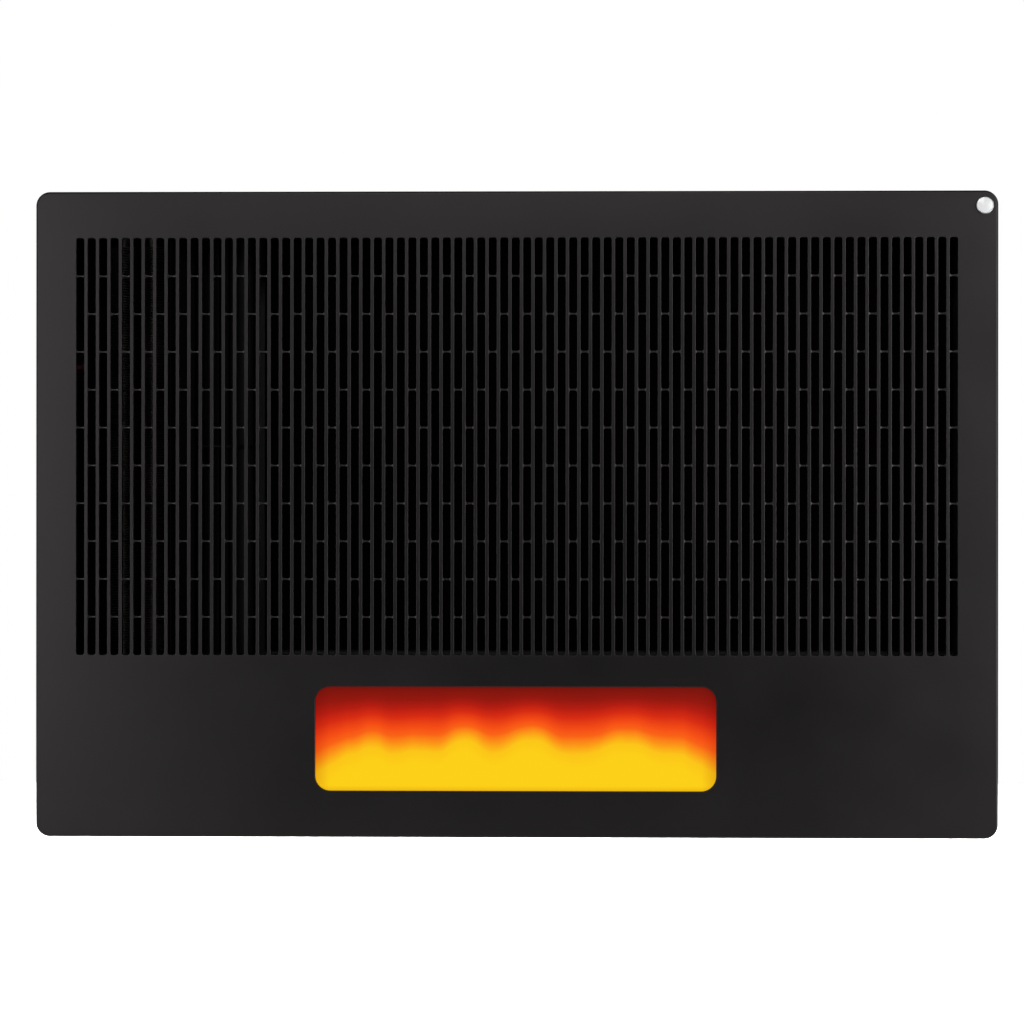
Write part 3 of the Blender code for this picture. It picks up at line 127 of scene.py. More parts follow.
def new_material(name, colour, roughness, metallic=0.0):
    """A material with its Principled shader set, its node tree and that shader."""
    material = bpy.data.materials.new(name)
    material.use_nodes = True
    tree = material.node_tree
    shader = tree.nodes["Principled BSDF"]
    shader.inputs["Base Color"].default_value = (*colour, 1.0)
    shader.inputs["Roughness"].default_value = roughness
    shader.inputs["Metallic"].default_value = metallic
    return material, tree, shader


def node(tree, kind, **values):
    """A shader node with inputs or properties set by name."""
    made = tree.nodes.new(kind)
    for name, value in values.items():
        label = name.replace("_", " ")
        if label in made.inputs:
            made.inputs[label].default_value = value
        else:
            setattr(made, name, value)
    return made


def place(tree, scale=(1.0, 1.0, 1.0)):
    """Object coordinates, stretched."""
    coordinates = node(tree, "ShaderNodeTexCoord")
    mapping = node(tree, "ShaderNodeMapping")
    mapping.inputs["Scale"].default_value = scale
    tree.links.new(coordinates.outputs["Object"], mapping.inputs["Vector"])
    return mapping.outputs["Vector"]


def noise(tree, vector, scale, detail=3.0, roughness=0.5):
    made = node(tree, "ShaderNodeTexNoise", Scale=scale, Detail=detail, Roughness=roughness)
    tree.links.new(vector, made.inputs["Vector"])
    return made.outputs["Fac"]


def spread(tree, value, low, high, from_low=0.0, from_high=1.0):
    """A number moved from one range to another."""
    made = node(tree, "ShaderNodeMapRange")
    made.inputs["From Min"].default_value = from_low
    made.inputs["From Max"].default_value = from_high
    made.inputs["To Min"].default_value = low
    made.inputs["To Max"].default_value = high
    tree.links.new(value, made.inputs["Value"])
    return made.outputs["Result"]


def ramp(tree, value, stops):
    made = node(tree, "ShaderNodeValToRGB")
    elements = made.color_ramp.elements
    while len(elements) < len(stops):
        elements.new(0.5)
    for element, (position, colour) in zip(elements, stops):
        element.position = position
        element.color = (*colour, 1.0)
    tree.links.new(value, made.inputs["Fac"])
    return made.outputs["Color"]


def bump(tree, shader, height, strength, distance):
    made = node(tree, "ShaderNodeBump", Strength=strength, Distance=distance)
    tree.links.new(height, made.inputs["Height"])
    tree.links.new(made.outputs["Normal"], shader.inputs["Normal"])


def grained(
    name, colour, roughness, metallic=0.0, grain=900.0, depth=0.00005, vary=0.25, smudge=9.0, shine=0.5
):
    """A finish with a fine bumped grain and slow changes of tone and gloss."""
    material, tree, shader = new_material(name, colour, roughness, metallic)
    shader.inputs["Specular IOR Level"].default_value = shine
    vector = place(tree)
    slow = noise(tree, vector, smudge, 4.0, 0.55)
    fine = noise(tree, vector, grain, 2.0, 0.6)
    dark = tuple(value * (1 - vary) for value in colour)
    light = tuple(min(1.0, value * (1 + vary)) for value in colour)
    tree.links.new(ramp(tree, slow, ((0.35, dark), (0.68, light))), shader.inputs["Base Color"])
    gloss = spread(tree, slow, max(0.05, roughness - 0.07), min(1.0, roughness + 0.07), 0.35, 0.65)
    tree.links.new(gloss, shader.inputs["Roughness"])
    bump(tree, shader, fine, 0.6, depth)
    return material


def brushed(name, colour, roughness, axis, metallic=1.0, vary=0.2):
    """Metal with fine scratches along one axis."""
    material, tree, shader = new_material(name, colour, roughness, metallic)
    scale = [1500.0, 1500.0, 1500.0]
    scale["XYZ".index(axis)] = 18.0
    lines = noise(tree, place(tree, scale), 1.0, 3.0, 0.6)
    cloud = noise(tree, place(tree), 14.0, 3.0)
    dark = tuple(value * (1 - vary) for value in colour)
    light = tuple(min(1.0, value * (1 + vary)) for value in colour)
    tree.links.new(ramp(tree, cloud, ((0.35, dark), (0.65, light))), shader.inputs["Base Color"])
    gloss = spread(tree, lines, roughness - 0.1, roughness + 0.14, 0.3, 0.7)
    tree.links.new(gloss, shader.inputs["Roughness"])
    bump(tree, shader, lines, 0.35, 0.00002)
    return material


def galvanised():
    """Zinc-coated sheet: flat crystals a few millimetres across, each with its own tone and gloss."""
    material, tree, shader = new_material("galvanised_sheet", (0.5, 0.51, 0.52), 0.4, 0.9)
    cells = node(tree, "ShaderNodeTexVoronoi", Scale=120.0)
    tree.links.new(place(tree), cells.inputs["Vector"])
    tone = ramp(tree, cells.outputs["Color"], ((0.2, (0.20, 0.205, 0.215)), (0.8, (0.34, 0.345, 0.355))))
    tree.links.new(tone, shader.inputs["Base Color"])
    tree.links.new(spread(tree, cells.outputs["Distance"], 0.3, 0.5, 0.0, 0.6), shader.inputs["Roughness"])
    bump(tree, shader, noise(tree, place(tree), 700.0), 0.25, 0.00002)
    return material


def layered(name, colour, pitch, axis, roughness=0.5, metallic=0.0, depth=0.0002):
    """Thin layers side by side along an axis, such as laminations or the turns of a winding."""
    material, tree, shader = new_material(name, colour, roughness, metallic)
    wave = node(tree, "ShaderNodeTexWave", wave_type="BANDS", bands_direction=axis, Distortion=0.4)
    wave.inputs["Scale"].default_value = math.pi / (10 * pitch)
    wave.inputs["Detail"].default_value = 1.0
    tree.links.new(place(tree), wave.inputs["Vector"])
    dark = tuple(value * 0.35 for value in colour)
    tree.links.new(ramp(tree, wave.outputs["Fac"], ((0.1, dark), (0.6, colour))), shader.inputs["Base Color"])
    gloss = spread(tree, noise(tree, place(tree), 200.0), roughness - 0.1, roughness + 0.1)
    tree.links.new(gloss, shader.inputs["Roughness"])
    bump(tree, shader, wave.outputs["Fac"], 0.8, depth)
    return material


def circuit_board():
    """Green solder mask over copper tracks that run in short straight lengths."""
    material, tree, shader = new_material("circuit_board_green", (0.01, 0.10, 0.04), 0.35)
    tracks = node(tree, "ShaderNodeTexBrick")
    tracks.inputs["Scale"].default_value = 110.0
    tracks.inputs["Mortar Size"].default_value = 0.03
    tracks.inputs["Color1"].default_value = (0.008, 0.085, 0.03, 1.0)
    tracks.inputs["Color2"].default_value = (0.012, 0.12, 0.045, 1.0)
    tracks.inputs["Mortar"].default_value = (0.05, 0.26, 0.08, 1.0)
    turn = node(tree, "ShaderNodeMapping")
    turn.inputs["Rotation"].default_value = (math.pi / 2, 0.0, 0.0)
    tree.links.new(place(tree), turn.inputs["Vector"])
    tree.links.new(turn.outputs["Vector"], tracks.inputs["Vector"])
    tree.links.new(tracks.outputs["Color"], shader.inputs["Base Color"])
    tree.links.new(spread(tree, noise(tree, place(tree), 300.0), 0.28, 0.45), shader.inputs["Roughness"])
    bump(tree, shader, tracks.outputs["Fac"], 0.4, 0.00005)
    return material


def flame_level(tree, across):
    """The height of the yellow's upper edge across the window: rounded tongues over a low base."""
    level = None
    for middle, height, half in FLAME_TONGUES:
        away = math_node(tree, "SUBTRACT", across, middle)
        share = math_node(tree, "DIVIDE", away, half)
        steep = math_node(tree, "POWER", math_node(tree, "ABSOLUTE", share, 0.0), 2.8)
        fall = math_node(tree, "DIVIDE", 1.0, math_node(tree, "ADD", steep, 1.0))
        tongue = math_node(tree, "MULTIPLY", fall, height - FLAME_BASE)
        if level is None:
            level = tongue
        else:
            level = math_node(tree, "SMOOTH_MAX", level, tongue, 0.016)
    ends = spread(tree, math_node(tree, "ABSOLUTE", across, 0.0), 0.0, -FLAME_END_DROP, 0.168, 0.200)
    return math_node(tree, "ADD", math_node(tree, "ADD", level, ends), WINDOW_BOTTOM + FLAME_BASE)


def math_node(tree, operation, first, second, third=None):
    made = node(tree, "ShaderNodeMath", operation=operation)
    for socket, value in zip(made.inputs, (first, second, third)):
        if value is None:
            continue
        if isinstance(value, (int, float)):
            socket.default_value = value
        else:
            tree.links.new(value, socket)
    return made.outputs[0]


def painted_flame_glow():
    """A blurred flame, lit from behind in the real fire; here the screen gives off its painted light itself:
    yellow tongues, orange and red above, with painted shade at the ends.
    """
    material, tree, shader = new_material("painted_flame_glow", (0.004, 0.001, 0.001), 0.6)
    vector = place(tree)
    split = node(tree, "ShaderNodeSeparateXYZ")
    tree.links.new(vector, split.inputs["Vector"])
    across = split.outputs["X"]
    up = split.outputs["Z"]
    drift = spread(tree, noise(tree, vector, 24.0, 2.0, 0.45), -0.002, 0.002, 0.3, 0.7)
    level = math_node(tree, "ADD", flame_level(tree, across), drift)
    above = math_node(tree, "SUBTRACT", up, level)
    room = math_node(tree, "SUBTRACT", WINDOW_TOP, level)
    share = math_node(tree, "DIVIDE", above, room)
    lowest = FLAME_RAMP[0][0]
    stops = [((height - lowest) / (1.0 - lowest), colour) for height, colour in FLAME_RAMP]
    colour = ramp(tree, spread(tree, share, 0.0, 1.0, lowest, 1.0), stops)
    # Painted shade: the glow falls off towards the window's two ends and along its bottom edge
    ends = math_node(tree, "ABSOLUTE", across, 0.0)
    side = spread(tree, ends, 1.0, 0.74, WINDOW_WIDTH / 2 - 0.014, WINDOW_WIDTH / 2 + 0.002)
    foot = spread(tree, up, 0.78, 1.0, WINDOW_BOTTOM - 0.001, WINDOW_BOTTOM + 0.005)
    shade = math_node(tree, "MULTIPLY", side, foot)
    tint = node(tree, "ShaderNodeMix", data_type="RGBA", blend_type="MULTIPLY")
    tint.inputs[0].default_value = 1.0
    tree.links.new(colour, tint.inputs[6])
    shade_tint = ramp(tree, shade, ((0.3, (0.35, 0.10, 0.10)), (0.7, (0.80, 0.62, 0.60)), (1.0, (1.0, 1.0, 1.0))))
    tree.links.new(shade_tint, tint.inputs[7])
    # The painted colour goes out as emission, so the screen glows though it is no lamp
    tree.links.new(tint.outputs[2], shader.inputs["Emission Color"])
    shader.inputs["Emission Strength"].default_value = 1.0
    shader.inputs["Specular IOR Level"].default_value = 0.05
    bump(tree, shader, noise(tree, vector, 60.0), 0.15, 0.0001)
    return material


def panel_coat():
    """A fine matt powder coat: small soft dimples, with slow faint changes of tone."""
    material, tree, shader = new_material("panel_powder_coat", (0.0034, 0.0030, 0.0031), 0.36)
    vector = place(tree)
    slow = noise(tree, vector, 7.0, 4.0, 0.6)
    tree.links.new(
        ramp(tree, slow, ((0.3, (0.0028, 0.0025, 0.0026)), (0.7, (0.0042, 0.0037, 0.0037)))),
        shader.inputs["Base Color"],
    )
    dimples = noise(tree, vector, 520.0, 2.0, 0.55)
    tree.links.new(spread(tree, slow, 0.33, 0.38, 0.3, 0.7), shader.inputs["Roughness"])
    bump(tree, shader, dimples, 0.35, 0.0001)
    shader.inputs["Specular Tint"].default_value = (1.0, 0.93, 0.965, 1.0)
    return material


def enamel():
    """White enamel under a clear domed face."""
    material, tree, shader = new_material("badge_enamel", (0.80, 0.82, 0.84), 0.25)
    cloud = noise(tree, place(tree), 260.0, 2.0)
    tone = ramp(tree, cloud, ((0.3, (0.94, 0.95, 0.96)), (0.7, (0.98, 0.98, 0.98))))
    tree.links.new(tone, shader.inputs["Base Color"])
    tree.links.new(spread(tree, cloud, 0.18, 0.32), shader.inputs["Roughness"])
    shader.inputs["Coat Weight"].default_value = 0.8
    return material


LOOKS = {
    "panel": panel_coat(),
    "casing": grained("casing_powder_coat", (0.013, 0.013, 0.014), 0.52, grain=700.0, depth=0.00012),
    "housing": grained("heat_proof_coat", (0.003, 0.003, 0.003), 0.85, grain=500.0, depth=0.0001, shine=0.12),
    # The lining's near-black colour is painted shade for the dark inside the casing
    "lining": grained(
        "painted_shade_insulation", (0.0012, 0.0012, 0.0012), 0.95, grain=350.0, depth=0.0002, shine=0.02
    ),
    "rotor": grained("rotor_black_coat", (0.004, 0.004, 0.004), 0.6, grain=600.0, shine=0.15),
    "galvanised": galvanised(),
    "steel_x": brushed("turned_steel", (0.55, 0.55, 0.56), 0.3, "X"),
    "steel_z": brushed("shaft_steel", (0.55, 0.55, 0.56), 0.28, "Z"),
    "screw": brushed("screw_steel", (0.30, 0.30, 0.31), 0.35, "X", vary=0.3),
    "spring": brushed("blued_spring_steel", (0.10, 0.12, 0.17), 0.3, "X"),
    "aluminium": brushed("rolled_aluminium", (0.70, 0.70, 0.71), 0.33, "Z"),
    "bezel": brushed("badge_ring", (0.62, 0.63, 0.64), 0.22, "Z"),
    "heater": grained(
        "oxidised_heater_steel", (0.055, 0.050, 0.046), 0.5, metallic=0.7, grain=400.0, vary=0.5, smudge=30.0
    ),
    "laminations": layered("stacked_laminations", (0.20, 0.18, 0.17), 0.0006, "Z", 0.45, 0.7),
    "winding": layered("taped_winding", (0.50, 0.15, 0.03), 0.0009, "Y", 0.4, 0.3),
    "bronze": grained("sintered_bronze", (0.42, 0.26, 0.11), 0.5, metallic=0.9, grain=1500.0, depth=0.0001),
    "ceramic": grained("white_ceramic", (0.74, 0.71, 0.64), 0.55, grain=1100.0, depth=0.00008, vary=0.08),
    "black_plastic": grained(
        "moulded_black_plastic", (0.014, 0.014, 0.015), 0.42, grain=1300.0, depth=0.00008
    ),
    "gloss_plastic": grained("rocker_plastic", (0.012, 0.012, 0.013), 0.26, grain=1800.0, depth=0.00002),
    "white_plastic": grained("moulded_white_plastic", (0.70, 0.69, 0.66), 0.38, grain=900.0, vary=0.06),
    "red_plastic": grained("red_button_plastic", (0.46, 0.015, 0.008), 0.35, grain=900.0, vary=0.12),
    "rubber": grained("black_rubber", (0.018, 0.018, 0.018), 0.78, grain=1200.0, depth=0.0001),
    "board": circuit_board(),
    "mirror": grained(
        "mirrored_film", (0.78, 0.78, 0.80), 0.14, metallic=1.0, grain=60.0, depth=0.0004, vary=0.05
    ),
    "cable": grained("grey_cable_sheath", (0.16, 0.16, 0.165), 0.5, grain=900.0, vary=0.15),
    "enamel": enamel(),
    "flame": painted_flame_glow(),
    "mark": grained("pale_printed_mark", (0.55, 0.55, 0.55), 0.5, grain=900.0, vary=0.1),
}


# ---------------------------------------------------------------- mesh tools

def add_object(name, data, body, look):
    piece = bpy.data.objects.new(name, data)
    bpy.context.scene.collection.objects.link(piece)
    data.materials.clear()
    data.materials.append(LOOKS[look])
    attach(piece, body)
    return piece


def mesh_from(points, faces, name="piece"):
    data = bpy.data.meshes.new(name)
    data.from_pydata(points, [], faces)
    data.update()
    return data


def smooth_by_angle(data, degrees=32.0):
    data.shade_smooth()
    data.set_sharp_from_angle(angle=math.radians(degrees))


def tidy_normals(data, merge=0.000002):
    shape = bmesh.new()
    shape.from_mesh(data)
    bmesh.ops.remove_doubles(shape, verts=shape.verts, dist=merge)
    bmesh.ops.recalc_face_normals(shape, faces=shape.faces)
    shape.to_mesh(data)
    shape.free()


def refine(node_name, look, bevel=0.0004, segments=2, angle=30.0):
    """A copy of a frame node with its edges rounded, which stands for the node."""
    source = frame["nodes"][node_name]
    data = source.data.copy()
    shape = bmesh.new()
    shape.from_mesh(data)
    bmesh.ops.remove_doubles(shape, verts=shape.verts, dist=0.000002)
    bmesh.ops.dissolve_limit(
        shape,
        angle_limit=math.radians(0.8),
        verts=shape.verts,
        edges=shape.edges,
        use_dissolve_boundaries=False,
    )
    bmesh.ops.recalc_face_normals(shape, faces=shape.faces)
    shape.to_mesh(data)
    shape.free()
    piece = add_object(f"{node_name}_finished", data, NODE_BODY[node_name], look)
    edge = piece.modifiers.new("edges", "BEVEL")
    edge.width = bevel
    edge.segments = segments
    edge.limit_method = "ANGLE"
    edge.angle_limit = math.radians(angle)
    edge.use_clamp_overlap = True
    edge.harden_normals = False
    smooth_by_angle(data)
    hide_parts(node_name)
    return piece


def rounded_loop(low, high, radius, steps=5):
    """Points round a rectangle with arc corners, anticlockwise from the right-hand side's upper corner."""
    loop = []
    centres = (
        (high[0] - radius, high[1] - radius),
        (low[0] + radius, high[1] - radius),
        (low[0] + radius, low[1] + radius),
        (high[0] - radius, low[1] + radius),
    )
    for quarter, (across, up) in enumerate(centres):
        for step in range(steps + 1):
            angle = math.pi / 2 * (quarter + step / steps)
            loop.append((across + radius * math.cos(angle), up + radius * math.sin(angle)))
    return loop


def grown(low, high, radius, by, steps=5):
    """The same loop moved outwards by a distance, point for point."""
    return rounded_loop((low[0] - by, low[1] - by), (high[0] + by, high[1] + by), radius + by, steps)


class Skin:
    """A surface made of flat sheets and of rings between matching loops, welded where they meet."""

    def __init__(self):
        self.points = []
        self.faces = []
        self.smooth = []

    def sheet(self, loops, depth, facing_front):
        """A flat sheet at one depth; the first loop is its outline and the others are holes."""
        flat = [point for loop in loops for point in loop]
        start = len(self.points)
        self.points += [(across, depth, up) for across, up in flat]
        triangles = tessellate_polygon([[Vector((a, u, 0.0)) for a, u in loop] for loop in loops])
        for a, b, c in triangles:
            (ax, ay), (bx, by), (cx, cy) = flat[a], flat[b], flat[c]
            anticlockwise = (bx - ax) * (cy - ay) - (by - ay) * (cx - ax) > 0
            # Seen from the front (from -Y, with X to the right), an anticlockwise face looks at the viewer
            order = (a, b, c) if anticlockwise == facing_front else (a, c, b)
            self.faces.append(tuple(start + index for index in order))
            self.smooth.append(False)

    def ring(self, loops_and_depths, smooth=True):
        """Bands between matching loops, each at its own depth."""
        count = len(loops_and_depths[0][0])
        start = len(self.points)
        for loop, depth in loops_and_depths:
            self.points += [(across, depth, up) for across, up in loop]
        for level in range(len(loops_and_depths) - 1):
            for index in range(count):
                following = (index + 1) % count
                a = start + level * count + index
                b = start + level * count + following
                self.faces.append((a, b, b + count, a + count))
                self.smooth.append(smooth)

    def data(self, name):
        made = mesh_from(self.points, self.faces, name)
        made.polygons.foreach_set("use_smooth", self.smooth)
        tidy_normals(made)
        return made


def quarter_levels(size, steps=4):
    """(sideways, inwards) steps of a rounded edge, from the flat face round to the wall."""
    levels = []
    for step in range(steps + 1):
        angle = math.pi / 2 * step / steps
        levels.append((size * (1 - math.sin(angle)), size * (1 - math.cos(angle))))
    return levels


# ---------------------------------------------------------------- front panel

def slot_columns():
    """(left edge, heights of its bridges) of each column of slots, in running bond."""
    width = GRILLE_RIGHT - GRILLE_LEFT
    height = GRILLE_TOP - GRILLE_BOTTOM
    count = round(width / SLOT_PITCH)
    pitch = (width - SLOT_WIDTH) / (count - 1)
    bricks = round(height / BRICK_PITCH - 0.5)
    brick = height / (bricks + 0.5)
    columns = []
    for column in range(count):
        shift = 0.5 if column % 2 == 0 else 0.0
        joints = [GRILLE_TOP - (index + shift) * brick for index in range(bricks + 1)]
        inside = [level for level in joints if GRILLE_BOTTOM + 0.01 < level < GRILLE_TOP - 0.01]
        columns.append((GRILLE_LEFT + column * pitch, inside))
    return columns


def front_panel_skin():
    """The panel as one closed skin: face, rounded edges, slot walls, window, returned rim and inside."""
    skin = Skin()
    low = (PANEL_LOW[0], PANEL_LOW[2])
    high = (PANEL_HIGH[0], PANEL_HIGH[2])
    window_low = (-WINDOW_WIDTH / 2, WINDOW_BOTTOM)
    window_high = (WINDOW_WIDTH / 2, WINDOW_TOP)
    sheet_back = FACE_Y + SHEET
    grille_back = FACE_Y + GRILLE_DEPTH
    slots = [((left, GRILLE_BOTTOM), (left + SLOT_WIDTH, GRILLE_TOP)) for left, _ in slot_columns()]

    holes = [grown(a, b, SLOT_CORNER, SLOT_ROUND) for a, b in slots]
    window_edge = grown(window_low, window_high, WINDOW_CORNER, WINDOW_ROUND, 10)
    face_edge = grown(low, high, CORNER_RADIUS, -EDGE_ROUND, 12)
    skin.sheet([face_edge, window_edge, *holes], FACE_Y, True)

    for a, b in slots:
        bands = [(grown(a, b, SLOT_CORNER, out), FACE_Y + deep) for out, deep in quarter_levels(SLOT_ROUND)]
        bands.append((grown(a, b, SLOT_CORNER, 0.0), grille_back))
        skin.ring(bands)
    bands = [
        (grown(window_low, window_high, WINDOW_CORNER, out, 10), FACE_Y + deep)
        for out, deep in quarter_levels(WINDOW_ROUND)
    ]
    bands.append((grown(window_low, window_high, WINDOW_CORNER, 0.0, 10), sheet_back))
    skin.ring(bands)

    outer = [
        (grown(low, high, CORNER_RADIUS, -out, 12), FACE_Y + deep)
        for out, deep in quarter_levels(EDGE_ROUND, 6)
    ]
    lip = 0.0006
    outer.append((grown(low, high, CORNER_RADIUS, 0.0, 12), RIM_BACK_Y - lip))
    outer.append((grown(low, high, CORNER_RADIUS, -lip, 12), RIM_BACK_Y))
    outer.append((grown(low, high, CORNER_RADIUS, -RIM_WALL + lip, 12), RIM_BACK_Y))
    outer.append((grown(low, high, CORNER_RADIUS, -RIM_WALL, 12), RIM_BACK_Y - lip))
    outer.append((grown(low, high, CORNER_RADIUS, -RIM_WALL, 12), sheet_back + 0.0015))
    outer.append((grown(low, high, CORNER_RADIUS, -RIM_WALL - 0.0015, 12), sheet_back))
    skin.ring(outer)

    pad_low = (GRILLE_LEFT - GRILLE_PAD, GRILLE_BOTTOM - GRILLE_PAD)
    pad_high = (GRILLE_RIGHT + GRILLE_PAD, GRILLE_TOP + GRILLE_PAD)
    inside_edge = grown(low, high, CORNER_RADIUS, -RIM_WALL - 0.0015, 12)
    pad_edge = grown(pad_low, pad_high, 0.003, 0.0)
    window_back = grown(window_low, window_high, WINDOW_CORNER, 0.0, 10)
    skin.sheet([inside_edge, window_back, pad_edge], sheet_back, False)
    skin.ring([(pad_edge, sheet_back), (pad_edge, grille_back)], smooth=False)
    back_holes = [grown(a, b, SLOT_CORNER, 0.0) for a, b in slots]
    skin.sheet([pad_edge, *back_holes], grille_back, False)
    return skin.data("front_panel_cast")


def bridge_sections():
    """(distance from the slot's middle, half height) along a bridge, which flares into the bars."""
    half_slot = SLOT_WIDTH / 2
    sections = [(0.0, BRIDGE_HALF)]
    for step in range(6):
        angle = math.pi / 2 * step / 5
        away = half_slot - BRIDGE_FILLET + BRIDGE_FILLET * math.sin(angle)
        sections.append((away, BRIDGE_HALF + BRIDGE_FILLET * (1 - math.cos(angle))))
    sections.append((half_slot + 0.0012, BRIDGE_HALF + BRIDGE_FILLET))
    mirrored = [(-away, half) for away, half in sections[:0:-1]]
    return mirrored + sections


def bridges():
    """All the bridges between the bars, as short rounded bars that stand a little behind the face."""
    front = FACE_Y + BRIDGE_SETBACK
    back = front + BRIDGE_DEPTH
    sections = bridge_sections()
    round_over = 0.0006
    points = []
    faces = []
    for left, levels in slot_columns():
        middle = left + SLOT_WIDTH / 2
        for level in levels:
            start = len(points)
            for away, half in sections:
                # The front sinks a little at the middle of the bridge and comes up to the bars
                sink = 0.0004 * (1 - min(1.0, abs(away) / (SLOT_WIDTH / 2)) ** 2)
                ring = [(-half, back), (-half, front + sink + round_over)]
                for step in range(1, 4):
                    angle = math.pi / 2 * step / 4
                    ring.append((
                        -half + round_over * (1 - math.cos(angle)),
                        front + sink + round_over * (1 - math.sin(angle)),
                    ))
                ring.append((-half + round_over, front + sink))
                ring += [(-height, depth) for height, depth in ring[::-1]]
                points += [(middle + away, depth, level + height) for height, depth in ring]
            size = len(ring)
            for section in range(len(sections) - 1):
                for index in range(size):
                    following = (index + 1) % size
                    a = start + section * size + index
                    b = start + section * size + following
                    faces.append((a, b, b + size, a + size))
            faces.append(tuple(range(start, start + size)))
            last = start + (len(sections) - 1) * size
            faces.append(tuple(range(last + size - 1, last - 1, -1)))
    data = mesh_from(points, faces, "grille_bridges")
    tidy_normals(data, 0.0000005)
    smooth_by_angle(data, 50.0)
    return data


def make_front_panel():
    panel = add_object("front_panel_cast", front_panel_skin(), "front_cover", "panel")
    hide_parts("front_panel")
    add_object("grille_bridges", bridges(), "front_cover", "panel")


def make_badge():
    """A plain white dome in a thin metal ring."""
    low, high = (Vector(corner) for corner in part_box("badge"))
    middle = (low + high) / 2
    radius = (high.x - low.x) / 2
    seat = FACE_Y - 0.00002
    top = low.y
    dome = []
    for step in range(9):
        share = step / 8
        fall = 0.0006 * (1 - math.cos(share * math.pi / 2)) + 0.0001 * share
        dome.append((radius * 0.90 * share, top + fall))
    dome.append((radius * 0.90, seat))
    spin("badge_enamel_dome", dome, middle, "enamel", closed=False)
    ring = [(radius * 0.88, seat), (radius * 0.88, top + 0.0007)]
    for step in range(7):
        angle = math.pi * step / 6
        ring.append((radius * (0.94 - 0.06 * math.cos(angle)), top + 0.0007 - 0.0005 * math.sin(angle)))
    ring.append((radius, seat))
    spin("badge_ring", ring, middle, "bezel", closed=True, stands_for="badge")


def spin(name, profile, middle, look, closed, stands_for=None, steps=64):
    """A turned piece facing the front: (radius, depth) points spun round an axis along Y."""
    points = []
    faces = []
    count = len(profile)
    for index in range(steps):
        angle = 2 * math.pi * index / steps
        for radius, depth in profile:
            points.append((middle.x + radius * math.cos(angle), depth, middle.z + radius * math.sin(angle)))
    bands = count if closed else count - 1
    for index in range(steps):
        following = (index + 1) % steps
        for level in range(bands):
            upper = (level + 1) % count
            faces.append((
                index * count + level,
                following * count + level,
                following * count + upper,
                index * count + upper,
            ))
    data = mesh_from(points, faces, name)
    tidy_normals(data, 0.000001)
    smooth_by_angle(data, 40.0)
    piece = add_object(name, data, "front_cover", look)
    if stands_for:
        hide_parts(stands_for)
    return piece


# ---------------------------------------------------------------- heating element

SHEATH_RADIUS = 0.004
FIN_PITCH = 0.0026
FIN_THICKNESS = 0.0005
FIN_ROOT = 0.0042


def make_heater():
    """The hairpin sheath with a fin wound round each leg as one continuous helix."""
    low, high = (Vector(corner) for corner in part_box("heating_element"))
    plate_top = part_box("blower_base_plate")[1][2]
    fin_radius = (high.y - low.y) / 2
    middle_y = (high.y + low.y) / 2
    legs = (low.x + fin_radius, high.x - fin_radius)
    spacing = legs[1] - legs[0]
    bend = high.z - SHEATH_RADIUS - spacing / 2

    route = [(legs[0], middle_y, low.z)]
    for step in range(25):
        angle = math.pi * (1 - step / 24)
        centre = (legs[0] + legs[1]) / 2
        route.append((centre + spacing / 2 * math.cos(angle), middle_y, bend + spacing / 2 * math.sin(angle)))
    route.append((legs[1], middle_y, low.z))
    curve = bpy.data.curves.new("heater_sheath", "CURVE")
    curve.dimensions = "3D"
    curve.bevel_depth = SHEATH_RADIUS
    curve.bevel_resolution = 6
    curve.use_fill_caps = True
    spline = curve.splines.new("POLY")
    spline.points.add(len(route) - 1)
    for point, spot in zip(spline.points, route):
        point.co = (*spot, 1.0)
    curve.materials.append(LOOKS["heater"])
    sheath = bpy.data.objects.new("heater_sheath", curve)
    bpy.context.scene.collection.objects.link(sheath)
    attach(sheath, "chassis")
    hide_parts("heating_element")

    bottom = plate_top + 0.0125
    turns = (bend - 0.003 - bottom) / FIN_PITCH
    around = 36
    points = []
    faces = []
    for x in legs:
        start = len(points)
        total = int(turns * around)
        for index in range(total + 1):
            angle = 2 * math.pi * index / around
            z = bottom + FIN_PITCH * index / around
            for radius, lift in (
                (FIN_ROOT, FIN_THICKNESS / 2),
                (fin_radius, FIN_THICKNESS / 4),
                (fin_radius, -FIN_THICKNESS / 4),
                (FIN_ROOT, -FIN_THICKNESS / 2),
            ):
                # The strip is crimped as it is wound, so its root waves a little
                wave = 0.0004 * math.sin(angle * 9) if radius < fin_radius else 0.0
                points.append((
                    x + radius * math.cos(angle),
                    middle_y + radius * math.sin(angle),
                    z + lift + wave,
                ))
        for index in range(total):
            a = start + index * 4
            for side in range(4):
                following = (side + 1) % 4
                faces.append((a + side, a + 4 + side, a + 4 + following, a + following))
        faces.append((start, start + 1, start + 2, start + 3))
        end = start + total * 4
        faces.append((end + 3, end + 2, end + 1, end))
    data = mesh_from(points, faces, "heater_fins")
    tidy_normals(data, 0.0000005)
    smooth_by_angle(data, 40.0)
    add_object("heater_wound_fins", data, "chassis", "heater")


LINING_INSET = 0.0022
LINING_STITCH = 0.0006
LINING_COLUMNS = 56
LINING_ROWS = 32
QUILT_STEP = 8


